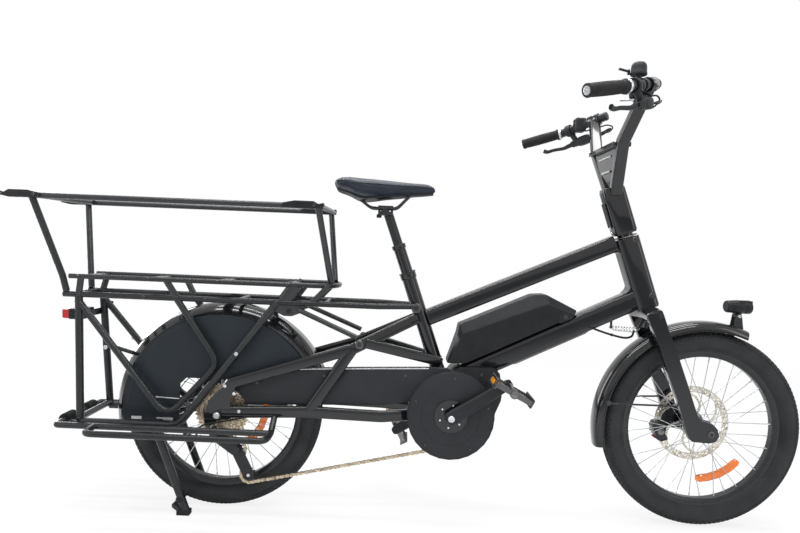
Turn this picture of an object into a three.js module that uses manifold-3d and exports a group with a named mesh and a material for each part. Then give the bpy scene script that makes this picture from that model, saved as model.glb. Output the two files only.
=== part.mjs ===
// Longtail cargo bike: a three.js model in millimetres, +Z up, +X forward, +Y to the rider's left.
// The drive side is the rider's right, at -Y. The origin lies on the ground under the middle of the box.
import * as THREE from "three";
import { mergeVertices } from "three/addons/utils/BufferGeometryUtils.js";
import Module from "manifold-3d";

const wasm = await Module();
wasm.setup();

// Driving dimensions
const WHEELBASE = 1266;
const TYRE_RADIUS = 260;
const TYRE_WIDTH = 58;
const BEAD_RADIUS = 205;
const GAP = 0.3; // between pieces that touch
const PLAY = 1; // between pieces that turn or slide past each other
const CRUMB = 0.1; // a joined solid's edges shorter than this are closed up
const OVERRUN = 20; // how far a cutting tool runs past what it cuts
const RIGHT = -1;
const LEFT = 1;
const SIDES = { right: RIGHT, left: LEFT };
const AXLE_Z = TYRE_RADIUS;
const FRONT_X = WHEELBASE;

// Finishes
const finish = (color, roughness, metalness = 0) =>
  new THREE.MeshStandardMaterial({ color, roughness, metalness });
const GLOSS_BLACK = finish(0x0b0c0e, 0.22, 0.1);
const SATIN_BLACK = finish(0x17191b, 0.45, 0.2);
const MATT_GREY = finish(0x2b2e31, 0.62, 0);
const RUBBER = finish(0x16171a, 0.85, 0);
const BARE_ALLOY = finish(0x9a9da1, 0.35, 0.9);
const STEEL = finish(0xb4b1a8, 0.3, 1);
const RED = finish(0xb3161b, 0.25, 0);

// Points and turns
const at = (x, y, z) => new THREE.Vector3(x, y, z);
const along = (a, b, share) => a.clone().lerp(b, share);
const QUARTER = Math.PI / 2;
const TURN = Math.PI * 2;
const radians = THREE.MathUtils.degToRad;

// Solids: each piece is joined and cut as a manifold, and becomes a mesh at the end
function solid(geometry) {
  const bare = new THREE.BufferGeometry();
  bare.setAttribute("position", geometry.getAttribute("position"));
  if (geometry.index) bare.setIndex(geometry.index);
  const merged = mergeVertices(bare, 1e-4);
  const places = new Float32Array(merged.attributes.position.array);
  const corners = new Uint32Array(merged.index.array);
  const corner = (i) => at(...places.subarray(3 * corners[i], 3 * corners[i] + 3));
  let volume = 0;
  for (let i = 0; i < corners.length; i += 3)
    volume += corner(i).dot(corner(i + 1).cross(corner(i + 2)));
  // Faces that look inwards are turned over
  if (volume < 0)
    for (let i = 0; i < corners.length; i += 3)
      [corners[i], corners[i + 1]] = [corners[i + 1], corners[i]];
  return new wasm.Manifold(new wasm.Mesh({ numProp: 3, vertProperties: places, triVerts: corners }));
}
const join = (...pieces) => pieces.flat().reduce((a, b) => a.add(b));
const cut = (piece, ...tools) => tools.flat().reduce((a, b) => a.subtract(b), piece);

function mesh(name, piece, material, parent = frame) {
  const cleaned = piece.simplify(CRUMB).getMesh();
  const geometry = new THREE.BufferGeometry();
  geometry.setAttribute("position", new THREE.BufferAttribute(cleaned.vertProperties, 3));
  geometry.setIndex(new THREE.BufferAttribute(cleaned.triVerts, 1));
  geometry.computeVertexNormals();
  const made = new THREE.Mesh(geometry, material);
  made.name = name;
  parent.add(made);
  return made;
}

// Boxes, rods and rings
function box(low, high) {
  const size = high.clone().sub(low);
  const made = new THREE.BoxGeometry(size.x, size.y, size.z);
  const middle = along(low, high, 0.5);
  return solid(made.translate(middle.x, middle.y, middle.z));
}
function rod(from, to, radius, sides = 12, endRadius = radius) {
  const axis = to.clone().sub(from);
  const made = new THREE.CylinderGeometry(endRadius, radius, axis.length(), sides);
  made.applyQuaternion(new THREE.Quaternion().setFromUnitVectors(at(0, 1, 0), axis.clone().normalize()));
  const middle = along(from, to, 0.5);
  return solid(made.translate(middle.x, middle.y, middle.z));
}
// The radius of a many-sided bore whose flats clear a round piece that turns in it
const boreRadius = (radius, sides, gap = GAP) => (radius + gap) / Math.cos(Math.PI / sides);
// A cross rod runs along Y between two widths
const crossRod = (x, z, y0, y1, radius, sides) =>
  rod(at(x, Math.min(y0, y1), z), at(x, Math.max(y0, y1), z), radius, sides);
// A ring turned about a Y axis at x, z: the profile lists [radius, y], closed, anticlockwise
function turned(x, z, profile, segments, start = 0, sweep = TURN) {
  const closed = [...profile, profile[0]].map(([r, y]) => new THREE.Vector2(r, y));
  if (sweep === TURN) {
    const made = new THREE.LatheGeometry(closed, segments, start, sweep);
    return solid(made.translate(x, 0, z));
  }
  return wedge(x, z, profile, segments, start, sweep);
}
// Part of a turned ring, with its two ends closed; angles run from +X towards +Z
function wedge(x, z, profile, segments, start, sweep) {
  const rows = [];
  for (let i = 0; i <= segments; i += 1) {
    const angle = start + (sweep * i) / segments;
    rows.push(profile.map(([r, y]) => at(x + r * Math.cos(angle), y, z + r * Math.sin(angle))));
  }
  return skin(rows);
}

// A closed skin through rows of points, each row a closed flat loop, capped at both ends
function skin(rows) {
  const count = rows[0].length;
  const corners = [];
  const put = (...points) => points.forEach((p) => corners.push(p.x, p.y, p.z));
  const spokes = rows[0].map((p) => p.clone().sub(rows[0][0]));
  const across = spokes.reduce((far, p) => (p.length() > far.length() ? p : far)).clone().normalize();
  const aside = spokes.reduce((far, p) =>
    p.clone().cross(across).length() > far.clone().cross(across).length() ? p : far,
  );
  const normal = across.clone().cross(aside).normalize();
  const up = normal.clone().cross(across);
  const flat = spokes.map((p) => new THREE.Vector2(p.dot(across), p.dot(up)));
  const last = rows[rows.length - 1];
  // Seen from the other side, a clockwise loop runs anticlockwise, as the triangles do
  if (THREE.ShapeUtils.area(flat) < 0) flat.forEach((p) => p.setY(-p.y));
  for (const [a, b, c] of THREE.ShapeUtils.triangulateShape(flat, [])) {
    put(rows[0][a], rows[0][b], rows[0][c]);
    put(last[a], last[c], last[b]);
  }
  for (let r = 0; r + 1 < rows.length; r += 1)
    for (let i = 0; i < count; i += 1) {
      const j = (i + 1) % count;
      const [a, b, c, d] = [rows[r][i], rows[r][j], rows[r + 1][j], rows[r + 1][i]];
      put(a, c, b, a, d, c);
    }
  const geometry = new THREE.BufferGeometry();
  geometry.setAttribute("position", new THREE.BufferAttribute(new Float32Array(corners), 3));
  return solid(geometry);
}

// A path through given stations, so that a straight stretch needs no steps
class BentPath extends THREE.Curve {
  constructor(stations) {
    super();
    this.stations = stations;
  }
  getPoint(t, target = at(0, 0, 0)) {
    const place = Math.min(t, 1) * (this.stations.length - 1);
    const first = Math.min(Math.floor(place), this.stations.length - 2);
    return target.copy(this.stations[first]).lerp(this.stations[first + 1], place - first);
  }
  getPointAt(t, target) {
    return this.getPoint(t, target);
  }
  getSpacedPoints() {
    return this.stations.map((p) => p.clone());
  }
  getTangentAt(t, target = at(0, 0, 0)) {
    const i = Math.round(t * (this.stations.length - 1));
    const before = this.stations[Math.max(i - 1, 0)];
    const after = this.stations[Math.min(i + 1, this.stations.length - 1)];
    const here = this.stations[i];
    target.copy(after).sub(here).normalize();
    const arriving = here.clone().sub(before).normalize();
    return target.add(arriving).normalize();
  }
}
// Rounds the inner corners of a polyline
function bent(points, radius, steps = 2) {
  const stations = [points[0]];
  for (let i = 1; i + 1 < points.length; i += 1) {
    const back = points[i - 1].clone().sub(points[i]);
    const on = points[i + 1].clone().sub(points[i]);
    const angle = back.angleTo(on);
    const reach = Math.min(radius / Math.tan(angle / 2), back.length() * 0.48, on.length() * 0.48);
    const start = points[i].clone().add(back.setLength(reach));
    const end = points[i].clone().add(on.setLength(reach));
    const curve = new THREE.QuadraticBezierCurve3(start, points[i], end);
    stations.push(...curve.getPoints(steps));
  }
  stations.push(points[points.length - 1]);
  return stations;
}
// A round or oval tube; wide is its size across the plane of the path, tall its size in that plane
function tube(stations, wide, tall = wide, sides = 8) {
  const section = new THREE.Shape();
  for (let i = 0; i < sides; i += 1) {
    const angle = (TURN * (i + 0.5)) / sides;
    const [u, v] = [(wide / 2) * Math.cos(angle), (tall / 2) * Math.sin(angle)];
    if (i) section.lineTo(u, v);
    else section.moveTo(u, v);
  }
  section.closePath();
  const path = new BentPath(stations);
  return solid(
    new THREE.ExtrudeGeometry(section, { steps: stations.length - 1, extrudePath: path, curveSegments: 1 }),
  );
}

// A box beam with its edges cut off by a share of its smaller side
function beam(stations, wide, tall, edge_share = 0.22) {
  const edge = edge_share * Math.min(wide, tall);
  const [w, t] = [wide / 2, tall / 2];
  const corners = [
    [w, t - edge],
    [w - edge, t],
    [edge - w, t],
    [-w, t - edge],
    [-w, edge - t],
    [edge - w, -t],
    [w - edge, -t],
    [w, edge - t],
  ];
  const section = new THREE.Shape(corners.map(([u, v]) => new THREE.Vector2(u, v)));
  const path = new BentPath(stations);
  return solid(
    new THREE.ExtrudeGeometry(section, { steps: stations.length - 1, extrudePath: path, curveSegments: 1 }),
  );
}

// Outlines in the middle plane: a box between two corners, and a round one of so many sides
const rectangle = (x0, z0, x1, z1) => [
  [x0, z0],
  [x1, z0],
  [x1, z1],
  [x0, z1],
];
const roundOutline = (x, z, radius, sides) =>
  arc(x, z, radius, 0, TURN * (1 - 1 / sides), sides - 1);

// A plate: an outline of [x, z] points with its thickness along Y between two widths
function plate(outline, y0, y1, holes = []) {
  const shape = new THREE.Shape(outline.map(([x, z]) => new THREE.Vector2(x, z)));
  for (const hole of holes) shape.holes.push(new THREE.Path(hole.map(([x, z]) => new THREE.Vector2(x, z))));
  const depth = Math.abs(y1 - y0);
  const made = new THREE.ExtrudeGeometry(shape, { depth, bevelEnabled: false, curveSegments: 1 });
  return solid(made.rotateX(QUARTER).translate(0, Math.max(y0, y1), 0));
}
// Points on an arc, angles from +X towards +Z
function arc(x, z, radius, from, to, steps) {
  const points = [];
  for (let i = 0; i <= steps; i += 1) {
    const angle = from + ((to - from) * i) / steps;
    points.push([x + radius * Math.cos(angle), z + radius * Math.sin(angle)]);
  }
  return points;
}
function roundedOutline(points, radius, steps = 3) {
  const closed = points.map(([x, z]) => at(x, 0, z));
  const rounded = [];
  closed.forEach((corner, i) => {
    const back = closed[(i + closed.length - 1) % closed.length].clone().sub(corner);
    const on = closed[(i + 1) % closed.length].clone().sub(corner);
    const reach = Math.min(radius, back.length() * 0.45, on.length() * 0.45);
    const start = corner.clone().add(back.setLength(reach));
    const end = corner.clone().add(on.setLength(reach));
    const curve = new THREE.QuadraticBezierCurve3(start, corner, end);
    rounded.push(...curve.getPoints(steps).map((p) => [p.x, p.z]));
  });
  return rounded;
}

// The group: frame holds everything in bike places, and is moved so that the origin is under its middle
const bike = new THREE.Group();
const frame = new THREE.Group();
bike.add(frame);

// Steering column: its axis leans back from the crown
const COLUMN = {
  crownX: 1109,
  crownZ: 575,
  lean: radians(19.4),
  steererRadius: 20,
  headFore: 68,
  headWide: 56,
  headLength: 196,
  riserLength: 138,
  riserFore: 62,
  riserWide: 52,
};
// A place beside the column: up it by a length, forward and to the left of it
function byColumn(up, fore = 0, left = 0) {
  const { crownX, crownZ, lean } = COLUMN;
  const [s, c] = [Math.sin(lean), Math.cos(lean)];
  return at(crownX - up * s + fore * c, left, crownZ + up * c + fore * s);
}

// Frame tubes
const FRAME = {
  seatTube: 38,
  seatTop: at(471, 0, 643),
  seatFoot: at(553, 0, 420),
  topTube: 44,
  topTubeWide: 42,
  topStart: at(520, 0, 520),
  topEnd: at(1040, 0, 751),
  downTube: 54,
  downWide: 48,
  downStart: at(630, 0, 376),
  downEnd: at(1096, 0, 605),
  coverDrop: 9,
  coverWide: 34,
  bracketX: 597,
  bracketZ: 282,
  collarHeight: 18,
  collarWall: 5,
};
const seatAxis = FRAME.seatTop.clone().sub(FRAME.seatFoot).normalize();
const upSeat = (up) => FRAME.seatTop.clone().addScaledVector(seatAxis, up);
const headTube = (extra = 0) =>
  tube(
    [byColumn(PLAY - extra), byColumn(COLUMN.headLength + extra)],
    COLUMN.headWide + 2 * extra,
    COLUMN.headFore + 2 * extra,
    12,
  );
// The column's whole line, which the frame tubes stop against
const columnRoom = () =>
  tube(
    [byColumn(-4 * OVERRUN), byColumn(COLUMN.headLength + 4 * OVERRUN)],
    COLUMN.headWide + 2 * GAP,
    COLUMN.headFore + 2 * GAP,
    12,
  );
// The room that the fork's crown sweeps as it turns
const crownRoom = () => {
  const reach = Math.hypot(FORK.legY + FORK.legWide / 2, FORK.crownFore / 2);
  return rod(byColumn(-2 * FORK.crownHigh), byColumn(GAP), boreRadius(reach, 12, PLAY), 12);
};
const seatTube = (extra = 0) =>
  rod(FRAME.seatFoot, upSeat(extra), FRAME.seatTube / 2 + extra, 12);

// Motor unit: it hangs under the down tube's foot and holds the crank's spindle
const MOTOR = {
  right: -36,
  left: 52,
  topX: 640,
  topZ: 402,
  noseX: 735,
  noseZ: 330,
  belly: 66,
  boreRadius: 14,
};
function motorOutline(extra = 0) {
  const { bracketX: x, bracketZ: z } = FRAME;
  return roundedOutline(
    [
      ...arc(x, z, MOTOR.belly + extra, radians(125), radians(290), 8),
      [MOTOR.noseX - MOTOR.belly / 2, z - MOTOR.belly / 2 - extra],
      [MOTOR.noseX + extra, MOTOR.noseZ],
      [MOTOR.noseX - MOTOR.boreRadius + extra, MOTOR.topZ],
      [MOTOR.topX - MOTOR.belly / 2, MOTOR.topZ + extra],
    ],
    MOTOR.boreRadius,
    1,
  );
}

const motorRoom = () => plate(motorOutline(GAP), MOTOR.right - GAP, MOTOR.left + GAP);

// Where the deeper guard under the down tube starts, is full and ends, as shares of the tube
const UNDER_SHARES = [0.22, 0.28, 0.66, 0.72];
function buildFrame() {
  const wide = FRAME.seatTube / 2;
  const steererRoom = boreRadius(COLUMN.steererRadius, 12);
  const bore = rod(byColumn(-OVERRUN), byColumn(COLUMN.headLength + OVERRUN), steererRoom, 12);
  mesh("head_tube", cut(headTube(), bore), GLOSS_BLACK);
  const top = tube([FRAME.topStart, FRAME.topEnd], FRAME.topTubeWide, FRAME.topTube, 12);
  mesh("top_tube", cut(top, columnRoom(), seatTube(GAP)), GLOSS_BLACK);

  const down = tube([FRAME.downStart, FRAME.downEnd], FRAME.downWide, FRAME.downTube, 12);
  // The deeper guard under the middle of the down tube
  const drop = at(0, 0, -FRAME.coverDrop);
  const guard = tube(
    UNDER_SHARES.map((share, i) =>
      along(FRAME.downStart, FRAME.downEnd, share).addScaledVector(drop, i % 3 ? 1 : 0),
    ),
    FRAME.coverWide,
    FRAME.downTube - FRAME.coverDrop,
    8,
  );
  const motor = motorRoom();
  const welded = join(down, guard, dock(), springLug());
  mesh("down_tube", cut(welded, columnRoom(), crownRoom(), motor), GLOSS_BLACK);

  const collar = rod(upSeat(-FRAME.collarHeight), upSeat(0), wide + FRAME.collarWall, 12);
  const postBore = rod(upSeat(-POST.depth - POST.lowerTravel), upSeat(OVERRUN), POST.lowerRadius + GAP, 12);
  mesh("seat_tube", cut(join(seatTube(), collar), postBore, motor), GLOSS_BLACK);

  const spindleBore = crossRod(
    FRAME.bracketX,
    FRAME.bracketZ,
    MOTOR.right - OVERRUN,
    MOTOR.left + OVERRUN,
    MOTOR.boreRadius,
    20,
  );
  mesh("motor_unit", cut(plate(motorOutline(), MOTOR.right, MOTOR.left), spindleBore), SATIN_BLACK);
}

// Seat posts and saddle
const POST = {
  lowerRadius: 15.8,
  upperRadius: 12.7,
  depth: 170,
  lowerTravel: 50,
  lowerRise: 76,
  upperDepth: 120,
  upperTravel: 78,
  collarRise: 12,
  collarRadius: 18.5,
  upperRise: 92,
  headHeight: 16,
};
const SADDLE = {
  rearX: 271,
  length: 272,
  topZ: 884,
  rearWide: 186,
  depth: 62,
  railRadius: 3.5,
  railY: 22,
  clampX: 408,
  clampLength: 38,
  clampZ: 803,
};
function buildSeat() {
  const deep = POST.lowerRise - POST.upperDepth - POST.upperTravel;
  const bore = rod(upSeat(deep), upSeat(POST.lowerRise + OVERRUN), POST.upperRadius + GAP, 12);
  const lower = rod(upSeat(GAP - POST.depth), upSeat(POST.lowerRise), POST.lowerRadius, 12);
  const ring = rod(upSeat(POST.lowerRise - POST.collarRise), upSeat(POST.lowerRise), POST.collarRadius, 12);
  mesh("seatpost_lower", cut(join(lower, ring), bore), SATIN_BLACK);

  const foot = upSeat(POST.lowerRise - POST.upperDepth + GAP);
  const top = upSeat(POST.lowerRise + POST.upperRise);
  const { clampX: x, clampZ: z, clampLength: long, railY, railRadius } = SADDLE;
  const upper = rod(foot, top, POST.upperRadius, 12);
  const head = box(
    at(x - long / 2, -railY - railRadius, z - POST.headHeight / 2),
    at(x + long / 2, railY + railRadius, z + POST.headHeight / 2),
  );
  const rails = Object.values(SIDES).map((side) =>
    tube(
      bent(
        RAIL_SHARES.map(([x_share, y_share, z_share]) =>
          at(
            SADDLE.rearX + x_share * SADDLE.length,
            side * y_share * SADDLE.rearWide,
            SADDLE.topZ - z_share * (SADDLE.topZ - z),
          ),
        ),
        long / 2,
      ),
      2 * railRadius,
      2 * railRadius,
      6,
    ),
  );
  const cushion = saddleCushion(GAP);
  mesh("seatpost_upper", cut(join(upper, head, ...rails), cushion), SATIN_BLACK);
  mesh("saddle", saddleCushion(), MATT_GREY);
}
// Saddle rails: shares of the saddle's length, of its rear width and of the drop to the clamp
const RAIL_SHARES = [
  [0.25, 0.17, 0.66],
  [0.37, 0.13, 0.94],
  [0.61, 0.11, 0.94],
  [0.74, 0.06, 0.48],
];
// Saddle stations: shares of the length; of the width; of the drop from the top to the ridge; of the depth
const SADDLE_SHARES = [
  [0, 0.5, 0.2, 0.32],
  [0.015, 0.74, 0.1, 0.46],
  [0.06, 0.9, 0.03, 0.62],
  [0.16, 1, 0, 0.8],
  [0.26, 0.96, 0.02, 0.98],
  [0.36, 0.84, 0.03, 0.96],
  [0.5, 0.61, 0.05, 0.84],
  [0.64, 0.41, 0.07, 0.74],
  [0.76, 0.31, 0.09, 0.64],
  [0.88, 0.26, 0.11, 0.56],
  [0.96, 0.22, 0.17, 0.45],
  [1, 0.14, 0.32, 0.27],
];
const SADDLE_RING = 16;
// The cushion's cross-section: how much of the depth lies above its widest line, how far its sides are drawn
// in below that line, and the powers that round its sides, crown and underside
const CUSHION_SHARES = { above: 0.4, drawn: 0.3, side: 0.75, crown: 0.8, under: 0.6 };
function saddleCushion(extra = 0) {
  const { above, drawn, side, crown, under } = CUSHION_SHARES;
  const rows = SADDLE_SHARES.map(([x_share, wide_share, drop_share, depth_share]) => {
    const half = (wide_share * SADDLE.rearWide) / 2 + extra;
    const top = SADDLE.topZ - drop_share * SADDLE.depth + extra;
    const deep = depth_share * SADDLE.depth + 2 * extra;
    const x = SADDLE.rearX + x_share * SADDLE.length;
    const row = [];
    for (let i = 0; i < SADDLE_RING; i += 1) {
      const angle = (TURN * i) / SADDLE_RING;
      const [c, s] = [Math.cos(angle), Math.sin(angle)];
      const square = Math.sign(c) * Math.abs(c) ** side;
      // The sides are drawn in below the crown, and the underside stays flatter than the top
      const inset = s < 0 ? 1 - drawn * Math.abs(s) : 1;
      const height = s > 0 ? s ** crown * above : -(Math.abs(s) ** under) * (1 - above);
      row.push(at(x, half * square * inset, top - above * deep + height * deep));
    }
    return row;
  });
  return skin(rows);
}

// Rear stays on both sides: flat ovals in a plane beside the wheel
const STAY = {
  y: 66,
  wide: 16,
  beam: 28,
  strut: 28,
  chainstay: 30,
  brace: 26,
  dropoutX: 30,
  dropoutZ: 342,
  beamEndX: 486,
  beamEndZ: 514,
  tubeY: 22, // where the stays pass beside the seat tube
  strutTopX: 340,
  strutTopZ: 442,
  strutFootX: 232,
  strutFootZ: 276,
  stayX: 4,
  stayZ: 266,
  stayBendX: 420,
  stayEndX: 528,
  stayEndZ: 272,
  motorY: 28,
  braceTopX: 372,
  braceTopZ: 458,
  braceEndX: 556,
  braceEndZ: 414,
  axleRadius: 12,
  axleEnd: 80,
};
// The dropout's outline, as shares of the axle height beside the axle
const DROPOUT_SHARES = [
  [0.1, 0.37],
  [0.18, 0.3],
  [0.12, 0.15],
  [0.13, 0.08],
  [0.13, -0.04],
  [-0.02, -0.06],
  [-0.06, -0.15],
  [-0.12, -0.13],
  [-0.14, 0.01],
  [-0.08, 0.16],
  [0.05, 0.29],
];
function stays(side, extra = 0) {
  const spot = (x, y, z) => at(x, side * y, z);
  const wide = STAY.wide + 2 * extra;
  const middle = STAY.y - STAY.wide / 4;
  const { dropoutX, dropoutZ, strutTopX, strutTopZ, strutFootX, strutFootZ } = STAY;
  const beamPath = [
    spot(dropoutX, STAY.y, dropoutZ),
    spot(strutTopX, middle, strutTopZ),
    spot(STAY.beamEndX, STAY.tubeY, STAY.beamEndZ),
  ];
  const strutPath = [spot(strutTopX, middle, strutTopZ), spot(strutFootX, STAY.y, strutFootZ)];
  const lowPath = [
    spot(STAY.stayX, STAY.y, STAY.stayZ),
    spot(strutFootX, STAY.y, strutFootZ),
    spot(STAY.stayBendX, STAY.y, STAY.stayEndZ),
    spot(STAY.stayEndX, STAY.motorY, STAY.stayEndZ),
  ];
  const bracePath = [
    spot(STAY.braceTopX, STAY.y - STAY.wide / 2, STAY.braceTopZ),
    spot(STAY.braceEndX, STAY.tubeY, STAY.braceEndZ),
  ];
  const smooth = STAY.chainstay;
  return join(
    tube(bent(beamPath, smooth), wide, STAY.beam + 2 * extra),
    tube(strutPath, wide, STAY.strut + 2 * extra),
    tube(bent(lowPath, smooth), wide, STAY.chainstay + 2 * extra),
    tube(bracePath, wide, STAY.brace + 2 * extra),
  );
}
function buildStays(name, side) {
  const outer = STAY.y + STAY.wide / 2;
  const inner = STAY.y - STAY.wide / 2;
  const outline = DROPOUT_SHARES.map(([x_share, z_share]) => [x_share * AXLE_Z, AXLE_Z + z_share * AXLE_Z]);
  const hanger = plate(roundedOutline(outline, STAY.axleRadius / 2, 1), side * inner, side * outer);
  const axle = crossRod(0, AXLE_Z, side * inner, side * STAY.axleEnd, STAY.axleRadius, 16);
  const axleRoom = boreRadius(HUB.axleRadius, 10);
  const bore = crossRod(0, AXLE_Z, side * (inner - OVERRUN), side * STAY.y, axleRoom, 10);
  mesh(name, cut(join(stays(side), hanger, axle), seatTube(GAP), motorRoom(), bore), GLOSS_BLACK);
}

// Cargo rack: two leaning side frames, a lower pair of rails, a deck above them and a high passenger rail
const RACK = {
  railZ: 554,
  railY: 60,
  lean: 0.05, // how far the side frames spread for each millimetre down, as a share
  railDiameter: 15,
  railRearX: -408,
  railBendX: 400,
  railEndX: 500,
  tubeDiameter: 17,
  uprightDiameter: 19,
  uprightTopX: -369,
  uprightFootX: -350,
  footZ: 230,
  braceTopX: -350,
  braceTopZ: 521,
  braceLowX: -128,
  braceLowZ: 248,
  braceKinkX: -2,
  braceKinkZ: 392,
  braceEndX: -118,
  footBendX: -98,
  footEndX: 141,
  bend: 42,
  deckZ: 601,
  deckY: 67,
  deckDiameter: 13,
  deckRearX: -390,
  deckFrontX: 292,
  deckBend: 60,
  slats: 4,
  slatRearX: -366,
  slatPitch: 178,
  slatLong: 34,
  slatThick: 3,
  crossbarX: [-384, 40, 262],
  tailBarX: -394,
  tailBarReach: 88,
  tailBarZ: 229,
};
const sideY = (z) => RACK.railY + (RACK.railZ - z) * RACK.lean;
const onSide = (side, x, z) => at(x, side * sideY(z), z);
function lowerRail(side, extra = 0) {
  const y = side * RACK.railY;
  const endY = side * (FRAME.seatTube / 2 + RACK.railDiameter / 2 - 2 * PLAY);
  const path = [
    at(RACK.railRearX, y, RACK.railZ),
    at(RACK.railBendX, y, RACK.railZ),
    at(RACK.railEndX, endY, RACK.railZ),
  ];
  return tube(bent(path, RACK.bend), RACK.railDiameter + 2 * extra);
}
const lowerRails = (extra) => Object.values(SIDES).map((side) => lowerRail(side, extra));
function upright(side, extra = 0) {
  const top = onSide(side, RACK.uprightTopX, RACK.railZ);
  return rod(top, onSide(side, RACK.uprightFootX, RACK.footZ), RACK.uprightDiameter / 2 + extra, 8);
}
// The front brace starts at the upright's foot, runs forward and climbs to the lower rail
function frontBrace(side, extra = 0) {
  const path = [
    onSide(side, RACK.uprightFootX, RACK.footZ),
    onSide(side, RACK.footBendX, RACK.footZ),
    onSide(side, RACK.footEndX, RACK.railZ),
  ];
  return tube(bent(path, RACK.bend), RACK.uprightDiameter + 2 * extra);
}
// The rear brace zigzags: down from the upright, up again, and back to the lower rail
function rearBrace(side, extra = 0) {
  const path = [
    onSide(side, RACK.braceTopX, RACK.braceTopZ),
    onSide(side, RACK.braceLowX, RACK.braceLowZ),
    onSide(side, RACK.braceKinkX, RACK.braceKinkZ),
    onSide(side, RACK.braceEndX, RACK.railZ),
  ];
  return tube(bent(path, RACK.bend), RACK.tubeDiameter + 2 * extra);
}
// Cross bars at the foot: one ties the uprights, one behind it carries the bumpers and the footrests
function footBars(extra = 0) {
  const foot = RACK.footZ + RACK.uprightDiameter / 2;
  const { tubeDiameter, tailBarX, tailBarZ, tailBarReach } = RACK;
  return [
    crossRod(RACK.uprightFootX, foot, -sideY(foot), sideY(foot), tubeDiameter / 2 + extra, 8),
    crossRod(tailBarX, tailBarZ, -tailBarReach - extra, tailBarReach + extra, tubeDiameter / 2 + extra, 8),
  ];
}
// Where a short bridge joins the braces, as shares of their climbing stretches
const BRIDGE_SHARES = { rear: 0.3, front: 0.14 };
function buildRack() {
  const rails = lowerRails();
  const bars = RACK.crossbarX.map((x) =>
    crossRod(x, RACK.railZ, -RACK.railY, RACK.railY, RACK.railDiameter / 2 - 1.5 * PLAY, 6),
  );
  const railTools = lowerRails(GAP);
  // Both uprights, tied by a bar at their feet and by the lamp's plate near their tops
  const uprights = Object.values(SIDES).map((side) => upright(side));
  const foot = RACK.footZ + RACK.uprightDiameter / 2;
  const links = Object.values(SIDES).map((side) =>
    box(
      at(RACK.tailBarX, side * sideY(foot) - RACK.slatThick, RACK.tailBarZ - RACK.slatThick),
      at(RACK.uprightFootX, side * sideY(foot) + RACK.slatThick, RACK.tailBarZ + RACK.slatThick),
    ),
  );
  const lampPlate = box(
    at(LAMP.plateX, -RACK.railY - RACK.slatThick, LAMP.z - LAMP.high / 3),
    at(LAMP.plateX + RACK.slatThick, RACK.railY + RACK.slatThick, LAMP.z + LAMP.high / 3),
  );
  const welded = join(...rails, ...bars, ...uprights, ...footBars(), ...links, lampPlate);
  mesh("rack_frame", cut(welded, seatTube(GAP)), SATIN_BLACK);

  for (const [word, side] of Object.entries(SIDES)) {
    const low = onSide(side, RACK.braceLowX, RACK.braceLowZ);
    const kink = onSide(side, RACK.braceKinkX, RACK.braceKinkZ);
    const footBend = onSide(side, RACK.footBendX, RACK.footZ);
    const footEnd = onSide(side, RACK.footEndX, RACK.railZ);
    const bridge = rod(
      along(low, kink, BRIDGE_SHARES.rear),
      along(footBend, footEnd, BRIDGE_SHARES.front),
      RACK.tubeDiameter / 3,
      8,
    );
    const welds = [...railTools, upright(side, GAP), ...footBars(GAP)];
    // A boss on the right brace carries the wheel cover
    const boss = side === RIGHT ? [coverBoss()] : [];
    const front = cut(join(frontBrace(side), standLug(side), ...boss), welds);
    mesh("rack_front_brace_" + word, front, SATIN_BLACK);
    const rear = join(rearBrace(side), bridge);
    mesh("rack_rear_brace_" + word, cut(rear, welds, frontBrace(side, GAP)), SATIN_BLACK);
  }
  buildDeck(railTools);
  buildTopRail();
  buildFootrests();
}

function deckLoop(extra = 0) {
  const { deckZ: z, deckY: y, deckRearX, deckFrontX, deckDiameter } = RACK;
  const path = [at(deckRearX, -y, z), at(deckFrontX, -y, z), at(deckFrontX, y, z), at(deckRearX, y, z)];
  return tube(bent(path, RACK.deckBend, 4), deckDiameter + 2 * extra);
}
// The deck is a loop open at the rear, with slats between its tubes and struts down to the lower rails
function buildDeck(railTools) {
  const { deckZ: z, deckY: y } = RACK;
  const slats = [];
  for (let i = 0; i < RACK.slats; i += 1) {
    const x = RACK.slatRearX + i * RACK.slatPitch;
    slats.push(
      box(
        at(x - RACK.slatLong / 2, -y, z - RACK.slatThick / 2),
        at(x + RACK.slatLong / 2, y, z + RACK.slatThick / 2),
      ),
    );
  }
  const struts = Object.values(SIDES).flatMap((side) =>
    [
      [RACK.uprightTopX + RACK.tubeDiameter / 2, RACK.uprightTopX, RACK.tubeDiameter],
      [RACK.braceEndX - RACK.tubeDiameter * 1.5, RACK.braceEndX, RACK.tubeDiameter],
      [RACK.footEndX + RACK.slatLong * 1.4, RACK.footEndX + RACK.tubeDiameter, RACK.slatLong],
    ].map(([topX, lowX, fore]) => {
      const foot = at(lowX, side * RACK.railY, RACK.railZ + RACK.railDiameter / 4);
      return tube([foot, at(topX, side * y, z)], RACK.deckDiameter - PLAY, fore, 6);
    }),
  );
  mesh("rack_deck", cut(join(deckLoop(), ...slats, ...struts), railTools), SATIN_BLACK);
}

// The high rail that passengers hold: two sides on sloping posts, and a bar at each end
const TOP_RAIL = {
  z: 799,
  y: 128,
  diameter: 14,
  rearX: -452,
  frontX: 262,
  postRearFootX: -408,
  postRearFootY: 68,
  postFrontFootX: 276,
  postFrontFootY: 44,
  kneeZ: 603,
  fittingTail: 74,
  fittingLong: 100,
  fittingHigh: 20,
  fittingWide: 24,
  notch: 16,
  postDiameter: 16,
};
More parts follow.
